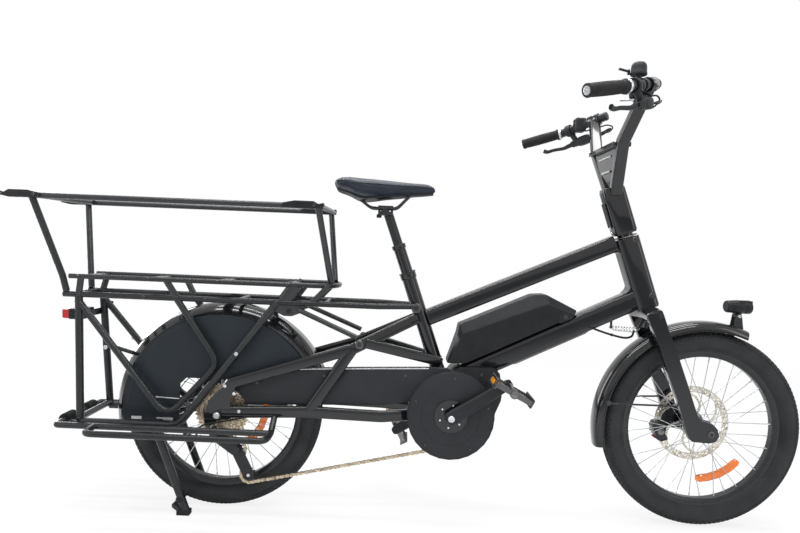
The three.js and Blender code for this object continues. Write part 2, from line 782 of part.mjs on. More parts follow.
// The corner fitting's outline from its tail: shares of its length and of its height
const FITTING_SHARES = [
  [0, -0.1],
  [0, 0.45],
  [0.12, 0.25],
  [0.24, 0.6],
  [0.7, 0.6],
  [1, 0.3],
  [1, -0.3],
  [0.25, -0.35],
];
function buildTopRail() {
  const { z, y, diameter, rearX, frontX } = TOP_RAIL;
  const thick = TOP_RAIL.postDiameter;
  const fitting = (side, x0, direction) => {
    const outline = FITTING_SHARES.map(([x_share, z_share]) => [
      x0 + direction * x_share * TOP_RAIL.fittingLong,
      z + z_share * TOP_RAIL.fittingHigh,
    ]);
    if (direction < 0) outline.reverse();
    return plate(outline, side * (y - TOP_RAIL.fittingWide / 2), side * (y + TOP_RAIL.fittingWide / 2));
  };
  const limbs = Object.values(SIDES).flatMap((side) => {
    const tailX = rearX - TOP_RAIL.fittingTail;
    const rearPath = [
      at(rearX, side * y, z),
      at(TOP_RAIL.postRearFootX, side * TOP_RAIL.postRearFootY, TOP_RAIL.kneeZ),
      at(TOP_RAIL.postRearFootX + diameter / 2, side * RACK.railY, RACK.railZ + RACK.railDiameter / 2),
    ];
    const frontPath = [
      at(frontX - diameter, side * y, z),
      at(TOP_RAIL.postFrontFootX, side * TOP_RAIL.postFrontFootY, RACK.deckZ + RACK.deckDiameter / 2),
    ];
    const holeX = tailX + TOP_RAIL.notch;
    const hole = crossRod(holeX, z, side * y - OVERRUN, side * y + OVERRUN, TOP_RAIL.notch / 4, 8);
    return [
      tube([at(rearX, side * y, z), at(frontX, side * y, z)], diameter),
      tube(bent(rearPath, thick), thick, thick, 8),
      tube(frontPath, thick, thick, 8),
      cut(fitting(side, tailX, 1), hole),
      fitting(side, frontX, -1),
    ];
  });
  const bars = [rearX + diameter, frontX - diameter / 2].map((x) => crossRod(x, z, -y, y, diameter / 2, 8));
  mesh("top_rail", cut(join(...limbs, ...bars), lowerRails(GAP), deckLoop(GAP)), SATIN_BLACK);
}

// Footrests: a double rail outside each side frame, from the tail bar to the chainstay
const FOOTREST = {
  innerY: 108,
  outerY: 165,
  diameter: 16,
  rearX: -394,
  outerRearX: -296,
  frontX: 146,
  rise: 32,
};
function buildFootrests() {
  const z = RACK.tailBarZ;
  const { innerY, outerY, diameter, rearX, outerRearX, frontX, rise } = FOOTREST;
  for (const [word, side] of Object.entries(SIDES)) {
    const p = (x, y, up = 0) => at(x, side * y, z + up);
    const inner = [p(rearX, RACK.tailBarReach + GAP), p(rearX, innerY), p(frontX, innerY)];
    const outer = [
      p(outerRearX, innerY),
      p(outerRearX, outerY),
      p(frontX, outerY),
      p(frontX, innerY),
      p(frontX, STAY.y, rise),
    ];
    const tubes = [
      tube(bent(inner, diameter), diameter, diameter, 8),
      tube(bent(outer, 1.5 * diameter), diameter, diameter, 8),
    ];
    mesh("footrest_" + word, cut(join(...tubes), stays(side, GAP)), MATT_GREY);
  }
}

// Tail lamp on the uprights' plate, and rubber bumpers on the tail bar
const LAMP = { plateX: -376, z: 498, high: 28, wide: 60, deep: 44, lensDeep: 14 };
const BUMPER = { radius: 17, y: 50, long: 34, ribs: 3, rib: 2 };
function buildTail() {
  const front = LAMP.plateX - GAP;
  const back = front - LAMP.deep;
  const shell = box(
    at(back, -LAMP.wide / 2, LAMP.z - LAMP.high / 2),
    at(front, LAMP.wide / 2, LAMP.z + LAMP.high / 2),
  );
  const rows = [0, 0.5, 1].map((share) => {
    const [wide, high] = [LAMP.wide - share * LAMP.lensDeep, LAMP.high - (share * LAMP.lensDeep) / 2];
    const lens = roundedOutline(
      rectangle(-wide / 2, -high / 2, wide / 2, high / 2),
      LAMP.lensDeep / 2,
      1,
    );
    return lens.map(([y, z]) => at(back - share * LAMP.lensDeep, y, LAMP.z + z));
  });
  mesh("tail_lamp", join(shell, skin(rows)), RED);

  for (const [word, side] of Object.entries(SIDES)) {
    const profile = [];
    const [near, far] = [BUMPER.y - BUMPER.long / 2, BUMPER.y + BUMPER.long / 2];
    const bore = RACK.tubeDiameter / 2 + PLAY;
    profile.push([bore, side * far], [bore, side * near]);
    for (let i = 0; i <= 2 * BUMPER.ribs; i += 1) {
      const y = near + (BUMPER.long * i) / (2 * BUMPER.ribs);
      profile.push([BUMPER.radius - (i % 2 ? BUMPER.rib : 0), side * y]);
    }
    mesh("bumper_" + word, turned(RACK.tailBarX, RACK.tailBarZ, profile, 10), RUBBER);
  }
}

// Rear wheel cover: a flat shield on the drive side and a crowned mudguard over the tyre
const COVER = {
  radius: 254,
  face: 50,
  thick: 2.5,
  crownRise: 29, // from the shield's rim to the crown
  crownY: 38,
  from: radians(20),
  to: radians(188),
  steps: 18,
  sillZ: 347,
  sillX: -90,
  strutX: -268,
  strutY: 30,
  strutZ: 422,
  strut: 10,
  bossX: 44,
  bossZ: 420,
  tailX: -106,
  tailZ: 226,
  nearShare: 0.3, // the crown's flat top, from this share of the face on the shield's side
  farShare: 0.8, // to this share of the crown's reach on the other side
  strutShare: 0.6, // where on the crown's rise the struts start
  wallShare: 0.6, // how much thinner the crown's edges are than its top
};
const coverBoss = () =>
  crossRod(COVER.bossX, COVER.bossZ, -COVER.face - GAP, -sideY(COVER.bossZ), RACK.tubeDiameter / 3, 8);
function buildCovers() {
  const { radius, face, thick, from, to } = COVER;
  const crownRadius = radius + COVER.crownRise;
  const outline = [
    ...arc(0, AXLE_Z, radius, from, to, COVER.steps),
    [COVER.tailX, COVER.tailZ],
    [COVER.tailX, COVER.sillZ - STAY.wide],
    [COVER.sillX, COVER.sillZ],
  ];
  const room = plate(guardOutline(), -GUARD.outer - PLAY, -GUARD.inner + PLAY);
  const spread = [PLAY, -PLAY].flatMap((way) => [room.translate([way, 0, 0]), room.translate([0, 0, way])]);
  mesh("wheel_cover", cut(plate(outline, -face, -face + thick), spread), MATT_GREY);
  // The crown: its near edge meets the shield's rim, its far edge turns down over the tyre's other side
  const outer = [
    [radius + thick + GAP, -face],
    [crownRadius, -face * COVER.nearShare],
    [crownRadius, COVER.crownY * COVER.farShare],
    [crownRadius - COVER.crownY / 2, COVER.crownY],
  ];
  const inner = outer.map(([r, y]) => [r - thick, y - Math.sign(y - PLAY) * thick * COVER.wallShare]);
  const profile = [...outer, ...inner.reverse()];
  // Struts reach from its crown to the rack's rear braces
  const struts = Object.values(SIDES).map((side) => {
    const brace = onSide(side, COVER.strutX, COVER.strutZ);
    const angle = Math.atan2(brace.z - AXLE_Z, brace.x);
    const r = radius + COVER.strutShare * COVER.crownRise;
    const foot = at(r * Math.cos(angle), side * COVER.strutY, AXLE_Z + r * Math.sin(angle));
    return rod(foot, brace, COVER.strut / 2, 6);
  });
  const crown = wedge(0, AXLE_Z, profile, COVER.steps, from, to - from);
  const braces = Object.values(SIDES).map((side) => rearBrace(side, GAP));
  mesh("rear_mudguard", cut(join(crown, ...struts), spread, braces), GLOSS_BLACK);
}

// Chain guard: a long hollow beam inside the stays and a round case over the chainring
const GUARD = {
  outer: 57,
  inner: 41,
  caseOuter: 76,
  wall: 2.5,
  caseRadius: 112,
  opening: 15,
  middleShare: 0.55, // the beam's middle, on the way from the rear axle to the crank
  heightShare: 0.6, // and its height over the crank, as a share of the case's radius
};
// The beam's outline: shares of the distance between the axles of wheel and crank, and of the case's radius
const GUARD_SHARES = [
  [0.03, 0.02],
  [0.08, 0.5],
  [0.14, 0.72],
  [0.22, 0.84],
  [0.35, 0.92],
  [0.6, 0.99],
  [0.9, 1.06],
  [0.98, 1.05],
  [1.06, 0.86],
  [1.0, 0.5],
  [0.8, 0.24],
  [0.71, 0.15],
];
const guardOutline = () =>
  GUARD_SHARES.map(([x_share, z_share]) => [
    x_share * FRAME.bracketX,
    FRAME.bracketZ + z_share * GUARD.caseRadius,
  ]);
function buildGuard() {
  const { bracketX: x, bracketZ: z } = FRAME;
  const { outer, inner, caseOuter, wall, caseRadius, opening } = GUARD;
  const hollow = GUARD_SHARES.map(([x_share, z_share]) => {
    const [cx, cz] = [GUARD.middleShare * x, z + GUARD.heightShare * caseRadius];
    const [px, pz] = [x_share * x, z + z_share * caseRadius];
    return [px + Math.sign(cx - px) * wall, pz + Math.sign(cz - pz) * wall];
  });
  const beam = plate(guardOutline(), -outer, -inner);
  const disc = (radius, y0, y1) => crossRod(x, z, y0, y1, radius, 28);
  const shell = join(beam, disc(caseRadius, -caseOuter, -inner));
  const tools = [
    plate(hollow, -outer + wall, -inner + OVERRUN),
    disc(caseRadius - wall, -caseOuter + wall, -inner + OVERRUN),
    disc(opening, -caseOuter - OVERRUN, OVERRUN),
    // The chain leaves below and behind
    box(
      at(x - 2 * caseRadius, wall - caseOuter, z - caseRadius - OVERRUN),
      at(x, OVERRUN, z - caseRadius / 4),
    ),
    motorRoom(),
    stays(RIGHT, PLAY),
    crossRod(0, AXLE_Z, -OVERRUN, -caseOuter, CASSETTE.radius + PLAY, 30),
    chainBand(PLAY),
  ];
  mesh("chain_guard", cut(shell, tools), MATT_GREY);
}

// Wheels: tyre, rim with its spokes and hub, brake disc and, at the rear, the cassette
const TYRE_SHARES = [
  // radius from bead to tread, and half width
  [0, 0.52],
  [0.36, 0.98],
  [0.78, 0.9],
  [1, 0.34],
];
const RIM = { inner: 190, innerHalf: 9, outerHalf: 15, steps: 32 };
const HUB = {
  axleRadius: 6,
  shellRadius: 15,
  flangeRadius: 27,
  flangeY: 27,
  flangeThick: 3,
  spokeRadius: 1.2,
};
const SPOKES = 12;
const ROTOR = {
  radius: 101.5,
  inner: 84,
  thick: 2,
  y: 40,
  arms: 6,
  armShare: 0.34,
  centre: 24,
  rootShare: 1.3, // the windows' inner edge against the centre
};
const FRONT_HUB = { reach: 54, driveReach: 54, axleReach: 61 };
const REAR_HUB = { reach: 57, driveReach: 29.5, axleReach: 65 };
// A ring of flats whose middles lie at the stated radii, with one flat at the very bottom
function flatRing(x, profile) {
  const spread = 1 / Math.cos(Math.PI / RIM.steps);
  return turned(x, AXLE_Z, profile.map(([r, y]) => [r * spread, y]), RIM.steps, Math.PI / RIM.steps);
}
function tyre(x) {
  const half = TYRE_WIDTH / 2;
  const height = TYRE_RADIUS - BEAD_RADIUS;
  const one = TYRE_SHARES.map(([r_share, y_share]) => [BEAD_RADIUS + r_share * height, y_share * half]);
  return flatRing(x, [...one, ...one.map(([r, y]) => [r, -y]).reverse()]);
}
function rimAndSpokes(x, hub) {
  const outer = BEAD_RADIUS - GAP;
  const profile = [
    [RIM.inner, -RIM.innerHalf],
    [outer, -RIM.outerHalf],
    [outer, RIM.outerHalf],
    [RIM.inner, RIM.innerHalf],
  ];
  const pieces = [flatRing(x, profile)];
  for (let i = 0; i < SPOKES; i += 1) {
    const side = i % 2 ? 1 : -1;
    const lead = (i % 4 < 2 ? 1 : -1) * (TURN / SPOKES) * 1.5;
    const end = (TURN * i) / SPOKES;
    const start = end + lead;
    const place = (radius, angle, y) =>
      at(x + radius * Math.cos(angle), y, AXLE_Z + radius * Math.sin(angle));
    const from = place(HUB.flangeRadius - HUB.flangeThick, start, side * HUB.flangeY);
    pieces.push(rod(from, place(RIM.inner + PLAY, end, side * PLAY), HUB.spokeRadius, 3));
  }
  // The hub: its shell between two flanges, its core out to the brake disc or the cassette, and its axle
  const { flangeY, flangeThick, flangeRadius, shellRadius, axleRadius } = HUB;
  const core = shellRadius - flangeThick;
  const half = (reach) => [
    [shellRadius, flangeY - flangeThick / 2],
    [flangeRadius, flangeY - flangeThick / 2],
    [flangeRadius, flangeY + flangeThick / 2],
    [core, flangeY + flangeThick / 2],
    [core, reach],
    [axleRadius, reach],
    [axleRadius, hub.axleReach],
    [0, hub.axleReach],
  ];
  const drive = half(hub.driveReach).map(([r, y]) => [r, -y]).reverse();
  pieces.push(turned(x, AXLE_Z, [...drive, ...half(hub.reach)], 8));
  return join(pieces);
}
function rotor(x) {
  const outer = roundOutline(x, AXLE_Z, ROTOR.radius, 28);
  const disc = plate(outer, ROTOR.y - ROTOR.thick / 2, ROTOR.y + ROTOR.thick / 2);
  const windows = [];
  for (let i = 0; i < ROTOR.arms; i += 1) {
    const from = (TURN * (i + ROTOR.armShare / 2)) / ROTOR.arms;
    const to = (TURN * (i + 1 - ROTOR.armShare / 2)) / ROTOR.arms;
    const window = [
      ...arc(x, AXLE_Z, ROTOR.inner, from, to, 3),
      ...arc(x, AXLE_Z, ROTOR.centre * ROTOR.rootShare, to, from, 2),
    ];
    windows.push(plate(window, 0, ROTOR.y + OVERRUN));
  }
  const flange = HUB.flangeY + HUB.flangeThick / 2 + GAP;
  const boss = crossRod(x, AXLE_Z, flange, ROTOR.y + ROTOR.thick / 2, ROTOR.centre, 12);
  const bore = crossRod(x, AXLE_Z, 0, ROTOR.y + OVERRUN, HUB.shellRadius - HUB.flangeThick + GAP, 16);
  return cut(join(disc, boss), windows, bore);
}
// The cassette's cogs as steps: shares of the largest cog's radius, from the wheel outwards
const CASSETTE = { radius: 72, near: 30, far: 52, share: [1, 0.8, 0.6], cogShare: 0.45, chainCog: 2 };
function cassette() {
  const pitch = (CASSETTE.far - CASSETTE.near) / CASSETTE.share.length;
  const profile = [];
  CASSETTE.share.forEach((share, i) => {
    const y = -(CASSETTE.near + i * pitch);
    const back = y - pitch * CASSETTE.cogShare;
    profile.push([share * CASSETTE.radius, y], [share * CASSETTE.radius, back]);
    if (i + 1 === CASSETTE.share.length) return;
    const spacer = CASSETTE.share[i + 1] * CASSETTE.radius - pitch;
    profile.push([spacer, back], [spacer, y - pitch]);
  });
  const bore = boreRadius(HUB.axleRadius, 30);
  const last = profile[profile.length - 1][1];
  profile.push([bore, last], [bore, -CASSETTE.near]);
  return turned(0, AXLE_Z, profile, 14);
}

// Drive: crank, chainring, chain and the sprung cage that keeps the chain tight
const CRANK = {
  length: 165,
  angle: radians(33.6),
  armY: 91,
  armThick: 14,
  armRoot: 18,
  armTip: 12,
  spindle: 12,
  ringRadius: 81,
  ringThick: 3,
  leftArmY: 88,
};
const CHAIN = { y: 47, wide: 6, thick: 8, sag: 0.8, slack: 1.1 };
const PEDAL = {
  long: 100,
  wide: 88,
  thick: 24,
  gap: 8,
  axleRadius: 5,
  rightTilt: radians(-27),
  leftTilt: radians(-62),
  window: 26,
  barShare: 0.55, // half of the middle bar, as a share of the thickness
  rimShare: 0.14, // the rim beside the windows, as a share of the width
};
const PULLEYS = { upperX: 46, upperZ: 166, lowerX: 80, lowerZ: 100, radius: 17, cage: 3, cageRadius: 15 };
const COG = CASSETTE.radius * CASSETTE.share[CASSETTE.chainCog];
function crankTip(side) {
  const angle = CRANK.angle + (side === LEFT ? Math.PI : 0);
  return [FRAME.bracketX + CRANK.length * Math.cos(angle), FRAME.bracketZ + CRANK.length * Math.sin(angle)];
}
const armY = (side) => (side === RIGHT ? CRANK.armY : CRANK.leftArmY);
function crankArm(side) {
  const [tipX, tipZ] = crankTip(side);
  const { bracketX: x, bracketZ: z } = FRAME;
  const angle = Math.atan2(tipZ - z, tipX - x);
  const outline = [
    ...arc(x, z, CRANK.armRoot, angle + QUARTER, angle + 3 * QUARTER, 4),
    ...arc(tipX, tipZ, CRANK.armTip, angle - QUARTER, angle + QUARTER, 4),
  ];
  const y = armY(side);
  const arm = plate(outline, side * (y - CRANK.armThick / 2), side * (y + CRANK.armThick / 2));
  const eye = crossRod(tipX, tipZ, 0, side * (y + OVERRUN), boreRadius(PEDAL.axleRadius, 12), 12);
  return cut(arm, eye);
}
function pedal(side, tilt) {
  const [x, z] = crankTip(side);
  const from = armY(side) + CRANK.armThick / 2 + PEDAL.gap;
  const { long, wide, thick, window, axleRadius, barShare, rimShare } = PEDAL;
  const half = long / 2;
  const outline = roundedOutline(rectangle(-half, -thick / 2, half, thick / 2), thick / 3, 1);
  const spun = (points) =>
    points.map(([px, pz]) => [
      x + px * Math.cos(tilt) - pz * Math.sin(tilt),
      z + px * Math.sin(tilt) + pz * Math.cos(tilt),
    ]);
  const body = plate(spun(outline), side * from, side * (from + wide));
  const windows = [-1, 1].map((way) => {
    const [near, far] = [way * thick * barShare, way * (thick * barShare + window)];
    const edge = rectangle(Math.min(near, far), -thick, Math.max(near, far), thick);
    return plate(spun(edge), side * (from + wide * rimShare), side * (from + wide * (1 - rimShare)));
  });
  const root = armY(side) - CRANK.armThick / 2 + PLAY;
  const axle = crossRod(x, z, side * root, side * (from + wide / 2), axleRadius, 12);
  return join(cut(body, windows), axle);
}
// A belt round wheels: each entry is [x, z, radius, way], way 1 turning anticlockwise as seen from the right
function beltPath(wheels, sag) {
  const points = [];
  const count = wheels.length;
  const touch = wheels.map((a, i) => {
    const b = wheels[(i + 1) % count];
    const [dx, dz] = [b[0] - a[0], b[1] - a[1]];
    const distance = Math.hypot(dx, dz);
    const heading = Math.atan2(dz, dx);
    const slip = Math.asin((a[2] * a[3] - b[2] * b[3]) / distance);
    // The belt leaves wheel a and meets wheel b square to this angle
    const line = heading + slip;
    return [line - a[3] * QUARTER, line - b[3] * QUARTER];
  });
  wheels.forEach(([x, z, radius, way], i) => {
    const arrive = touch[(i + count - 1) % count][1];
    let sweep = (touch[i][0] - arrive) % TURN;
    if (way > 0 && sweep < 0) sweep += TURN;
    if (way < 0 && sweep > 0) sweep -= TURN;
    const steps = Math.ceil(Math.abs(sweep) / (2 * Math.acos(1 - sag / radius)));
    points.push(...arc(x, z, radius, arrive, arrive + sweep, steps));
  });
  return points;
}
// A belt's band between two offsets from its middle line
function band(path, y0, y1, thick) {
  const count = path.length;
  const offset = (way) =>
    path.map(([x, z], i) => {
      const [ax, az] = path[(i + count - 1) % count];
      const [bx, bz] = path[(i + 1) % count];
      const long = Math.hypot(bx - ax, bz - az);
      return [x + (way * (bz - az)) / long, z - (way * (bx - ax)) / long];
    });
  return cut(plate(offset(thick / 2), y0, y1), plate(offset(-thick / 2), y0 - OVERRUN, y1 + OVERRUN));
}
function chainBand(extra = 0) {
  const run = CHAIN.thick / 2 + CHAIN.slack;
  const wheels = [
    [FRAME.bracketX, FRAME.bracketZ, CRANK.ringRadius + run, 1],
    [0, AXLE_Z, COG + run, 1],
    [PULLEYS.upperX, PULLEYS.upperZ, PULLEYS.radius + run, -1],
    [PULLEYS.lowerX, PULLEYS.lowerZ, PULLEYS.radius + run, 1],
  ];
  const reach = CHAIN.wide / 2 + extra;
  return band(beltPath(wheels, CHAIN.sag), -CHAIN.y - reach, -CHAIN.y + reach, CHAIN.thick + 2 * extra);
}
// A disc that the chain runs on, in the chain's plane
const toothedDisc = (x, z, radius, sides) =>
  crossRod(x, z, -CHAIN.y - CRANK.ringThick / 2, -CHAIN.y + CRANK.ringThick / 2, radius, sides);
function buildDrive() {
  const { bracketX: x, bracketZ: z } = FRAME;
  mesh("chain", chainBand(), STEEL);

  // Crankset: spindle, chainring and both arms turn as one
  const spindle = crossRod(x, z, -CRANK.armY, CRANK.leftArmY, CRANK.spindle, 10);
  const ring = toothedDisc(x, z, CRANK.ringRadius, 24);
  mesh("crankset", join(spindle, ring, crankArm(RIGHT), crankArm(LEFT)), SATIN_BLACK);
  mesh("pedal_right", pedal(RIGHT, PEDAL.rightTilt), MATT_GREY);
  mesh("pedal_left", pedal(LEFT, PEDAL.leftTilt), MATT_GREY);
  buildDerailleur();
}
// Derailleur: a body hung from the dropout, and a cage that swings about the upper pulley
const DERAILLEUR = {
  hangerX: -6,
  hangerZ: 226,
  bodyY: 60,
  bodyThick: 14,
  bodyHigh: 24,
  pin: 4,
  insideShare: 0.7, // the cage's inner plate against its outer one
};
function buildDerailleur() {
  const { upperX, upperZ, lowerX, lowerZ, radius, cage, cageRadius } = PULLEYS;
  const { hangerX, hangerZ, bodyY, bodyThick, bodyHigh, pin, insideShare } = DERAILLEUR;
  const cageY = CHAIN.y + CHAIN.wide / 2 + PLAY;
  const link = (x0, z0, r0, x1, z1, r1) => {
    const angle = Math.atan2(z1 - z0, x1 - x0);
    return [
      ...arc(x0, z0, r0, angle + QUARTER, angle + 3 * QUARTER, 4),
      ...arc(x1, z1, r1, angle - QUARTER, angle + QUARTER, 4),
    ];
  };
  const side = plate(link(upperX, upperZ, cageRadius, lowerX, lowerZ, cageRadius), -cageY - cage, -cageY);
  const insideY = CHAIN.y - CHAIN.wide / 2 - PLAY;
  const slim = cageRadius * insideShare;
  const inside = plate(link(upperX, upperZ, slim, lowerX, lowerZ, slim), -insideY, -insideY + cage);
  const pins = [
    [upperX, upperZ],
    [lowerX, lowerZ],
  ].map(([px, pz]) => crossRod(px, pz, -cageY - cage, -insideY + cage, pin, 10));
  const pinRoom = boreRadius(pin, 10);
  const eye = crossRod(upperX, upperZ, -cageY - cage - OVERRUN, -cageY - cage / 2, pinRoom, 10);
  mesh("derailleur_cage", cut(join(side, inside, ...pins), eye), SATIN_BLACK);
  const spots = { upper: [upperX, upperZ], lower: [lowerX, lowerZ] };
  for (const [word, [px, pz]] of Object.entries(spots)) {
    const wheel = toothedDisc(px, pz, radius, 12);
    mesh("pulley_" + word, cut(wheel, crossRod(px, pz, -bodyY, 0, pinRoom, 10)), SATIN_BLACK);
  }
  const near = bodyY - bodyThick / 2 + PLAY;
  const lowZ = hangerZ - bodyHigh;
  const half = bodyHigh / 2;
  const body = plate(link(hangerX, lowZ, half, upperX, upperZ, half), -near - bodyThick, -near);
  const bolt = crossRod(upperX, upperZ, -near - bodyThick / 2, -cageY - cage / 2 - GAP, pin, 10);
  // The mount lies against the dropout's outer face
  const face = -STAY.y - STAY.wide / 2 - GAP;
  const mountLink = link(hangerX, hangerZ, bodyHigh / 3, hangerX, lowZ, half);
  const mount = plate(mountLink, face - bodyThick / 2, face);
  const tie = crossRod(hangerX, lowZ, face - bodyThick / 2, -near, bodyHigh / 3, 10);
  const swing = Math.hypot(lowerX - upperX, lowerZ - upperZ) + cageRadius + PLAY;
  const sweepRoom = crossRod(upperX, upperZ, -cageY - cage - GAP, 0, swing, 16);
  mesh("derailleur_body", join(cut(join(body, mount, tie), sweepRoom), bolt), SATIN_BLACK);
}

// Centre stand: two legs on a cross bar, hinged under the rack's lower tubes
const STAND = {
  pivotX: -150,
  pivotZ: 204,
  legY: 76,
  diameter: 20,
  footX: -72,
  footZ: 8,
  footLong: 22,
  barX: -110,
  barZ: 12,
  barDiameter: 15,
  lugWide: 22,
  lugGap: 8,
};
function buildStand() {
  const { pivotX, pivotZ, legY, diameter, footX, footZ, footLong, barX, barZ, barDiameter } = STAND;
  const half = STAND.lugWide / 2;
  const pieces = Object.values(SIDES).flatMap((side) => {
    const foot = at(footX, side * legY, footZ);
    const heel = at(footX - footLong / 2, side * legY, footZ);
    return [
      rod(at(pivotX, side * legY, pivotZ), foot, diameter / 2, 8),
      crossRod(pivotX, pivotZ, side * (legY - half), side * (legY + half), diameter / 2, 10),
      box(
        at(footX - footLong, side * legY - diameter / 2, 0),
        at(footX + footLong / 2, side * legY + diameter / 2, footZ + diameter / 4),
      ),
      rod(heel, at(barX, side * (legY - diameter), barZ), barDiameter / 2, 8),
    ];
  });
  const bar = crossRod(barX, barZ, -legY + diameter, legY - diameter, barDiameter / 2, 8);
  const made = join(...pieces, bar);
  const pinRoom = boreRadius(diameter / 4, 8);
  const bores = Object.values(SIDES).map((side) =>
    crossRod(pivotX, pivotZ, side * (legY - 2 * OVERRUN), side * (legY + 2 * OVERRUN), pinRoom, 8),
  );
  mesh("centre_stand", cut(made, bores), MATT_GREY);
}
// Lugs under the front braces carry the stand's pins
function standLug(side) {
  const { pivotX, pivotZ, legY, lugWide, lugGap, diameter } = STAND;
  const top = RACK.footZ;
  const walls = [-1, 1].map((way) => {
    const y = legY + way * (lugWide / 2 + PLAY);
    const far = y + way * (lugGap / 2);
    const outline = [
      [pivotX - diameter / 2, top],
      ...arc(pivotX, pivotZ, diameter / 2, Math.PI, TURN, 6),
      [pivotX + diameter / 2, top],
    ];
    return plate(outline, side * y, side * far);
  });
  const roof = box(
    at(pivotX - diameter / 2, side * legY - lugWide / 2 - lugGap / 2, pivotZ + diameter / 2 + PLAY),
    at(pivotX + diameter / 2, side * legY + lugWide / 2 + lugGap / 2, top - RACK.tubeDiameter / 4),
  );
  const reach = (lugWide + lugGap) / 2;
  const pin = crossRod(pivotX, pivotZ, side * (legY - reach), side * (legY + reach), diameter / 4, 8);
  return join(...walls, roof, pin);
}

// Battery: a bevelled case on the down tube, with its lock beside the front end
const BATTERY = {
  wide: 84,
  long: 330,
  high: 98,
  lift: 4,
  bevel: 18,
  startShare: 0.02,
  dockShares: [0.15, 0.88],
  sectionShares: [-1, -0.72, 0.72, 1],
  flankShare: 0.97, // the flat flanks are this much shorter than the middle
};
// The battery's side outline: shares of its length and of its height
const BATTERY_SHARES = [
  [-0.11, 0.2],
  [0.02, 0],
  [0.96, 0],
  [1, 0.08],
  [0.83, 0.8],
  [0.735, 0.93],
  [0.105, 1],
  [0.06, 0.8],
];
// A place beside the battery: up the down tube by u, and off the battery's underside by v
function byBattery(u, v) {
  const slope = Math.atan2(FRAME.downEnd.z - FRAME.downStart.z, FRAME.downEnd.x - FRAME.downStart.x);
  const base = along(FRAME.downStart, FRAME.downEnd, BATTERY.startShare);
  const rise = v + FRAME.downTube / 2 + BATTERY.lift;
  const [s, c] = [Math.sin(slope), Math.cos(slope)];
  return [base.x + u * c - rise * s, base.z + u * s + rise * c];
}
// The dock that the battery sits on
function dock() {
  const [low, high] = BATTERY.dockShares.map((share) => share * BATTERY.long);
  const deep = -FRAME.downTube / 2;
  const outline = [byBattery(low, deep), byBattery(high, deep), byBattery(high, -GAP), byBattery(low, -GAP)];
  return plate(outline, -FRAME.downWide / 3, FRAME.downWide / 3);
}
function battery() {
  const rows = BATTERY.sectionShares.map((share) => {
    const flank = Math.abs(share) === 1;
    const long = (flank ? BATTERY.flankShare : 1) * BATTERY.long;
    const high = BATTERY.high - (flank ? BATTERY.bevel : 0);
    return BATTERY_SHARES.map(([u_share, v_share]) => {
      const u = BATTERY.long / 2 + (u_share - 1 / 2) * long;
      const v = v_share * high;
      const [x, z] = byBattery(u, v);
      return at(x, (share * BATTERY.wide) / 2, z);
    });
  });
  return skin(rows);
}

// Fork, mudguard and brake at the front
const FORK = {
  crownHigh: 26,
  crownFore: 48,
  legY: 62,
  legTopUp: -18.9, // from the crown, along the column
  legTopFore: -3.5,
  legFootX: 1228,
  legFootZ: 268,
  legWide: 15,
  legFore: 36,
  steererTop: 262,
  dropRadius: 20,
  axleEnd: 70,
};
const LEG_TOP = byColumn(FORK.legTopUp, FORK.legTopFore);
const GUARD_FRONT = {
  radius: 285,
  wide: 66,
  wall: 3,
  lip: 22,
  from: radians(68),
  to: radians(192),
  bracket: 12,
  flatShare: 0.6, // how much of its width is flat
  innerShare: 0.93, // its inner profile's width against the outer one
  wire: 2,
  wireFrom: radians(166),
  wireBack: 52,
  wireUp: 68,
};
const CALIPER = {
  angle: radians(196),
  radius: 88,
  long: 56,
  high: 36,
  y0: 30,
  y1: 58,
  slot: 4,
  footShares: [0.86, 0.95],
};
function forkCrown(extra = 0) {
  const reach = FORK.legY + FORK.legWide / 2 + extra;
  return tube(
    [byColumn(-FORK.crownHigh / 2, 0, -reach), byColumn(-FORK.crownHigh / 2, 0, reach)],
    FORK.crownFore + 2 * extra,
    FORK.crownHigh + 2 * extra,
    8,
  );
}
function fork() {
  const { crownHigh, legY, legWide, legFore } = FORK;
  const steerer = rod(byColumn(-crownHigh / 2), byColumn(FORK.steererTop), COLUMN.steererRadius, 12);
  const { x1, z1, radius, wire } = SPRING;
  const hook = at(x1 + wire + GAP + radius / 2, 0, z1 + radius / 2);
  const lug = rod(hook, byColumn(-crownHigh / 2), radius / 2, 8);
  const pieces = [steerer, forkCrown(), lug];
  for (const side of [RIGHT, LEFT]) {
    const path = [
      at(LEG_TOP.x, side * legY, LEG_TOP.z),
      at(FORK.legFootX, side * legY, FORK.legFootZ),
      at(FRONT_X - FORK.dropRadius / 2, side * legY, AXLE_Z - FORK.dropRadius / 2),
    ];
    pieces.push(tube(bent(path, legFore / 2), legWide, legFore, 8));
    const [near, far] = [side * (legY - legWide / 2), side * (legY + legWide / 2)];
    pieces.push(crossRod(FRONT_X, AXLE_Z, near, far, FORK.dropRadius, 10));
    pieces.push(crossRod(FRONT_X, AXLE_Z, side * legY, side * FORK.axleEnd, FORK.dropRadius / 2, 8));
  }
  const axleRoom = boreRadius(HUB.axleRadius, 10);
  const bores = [RIGHT, LEFT].map((side) => crossRod(FRONT_X, AXLE_Z, 0, side * legY, axleRoom, 10));
  const topFace = byColumn(0, 0, 0);
  const headroom = rod(topFace, byColumn(OVERRUN * 4), COLUMN.headFore, 12);
  const trimmed = cut(join(pieces.slice(1)), headroom);
  return cut(join(steerer, trimmed), bores);
}
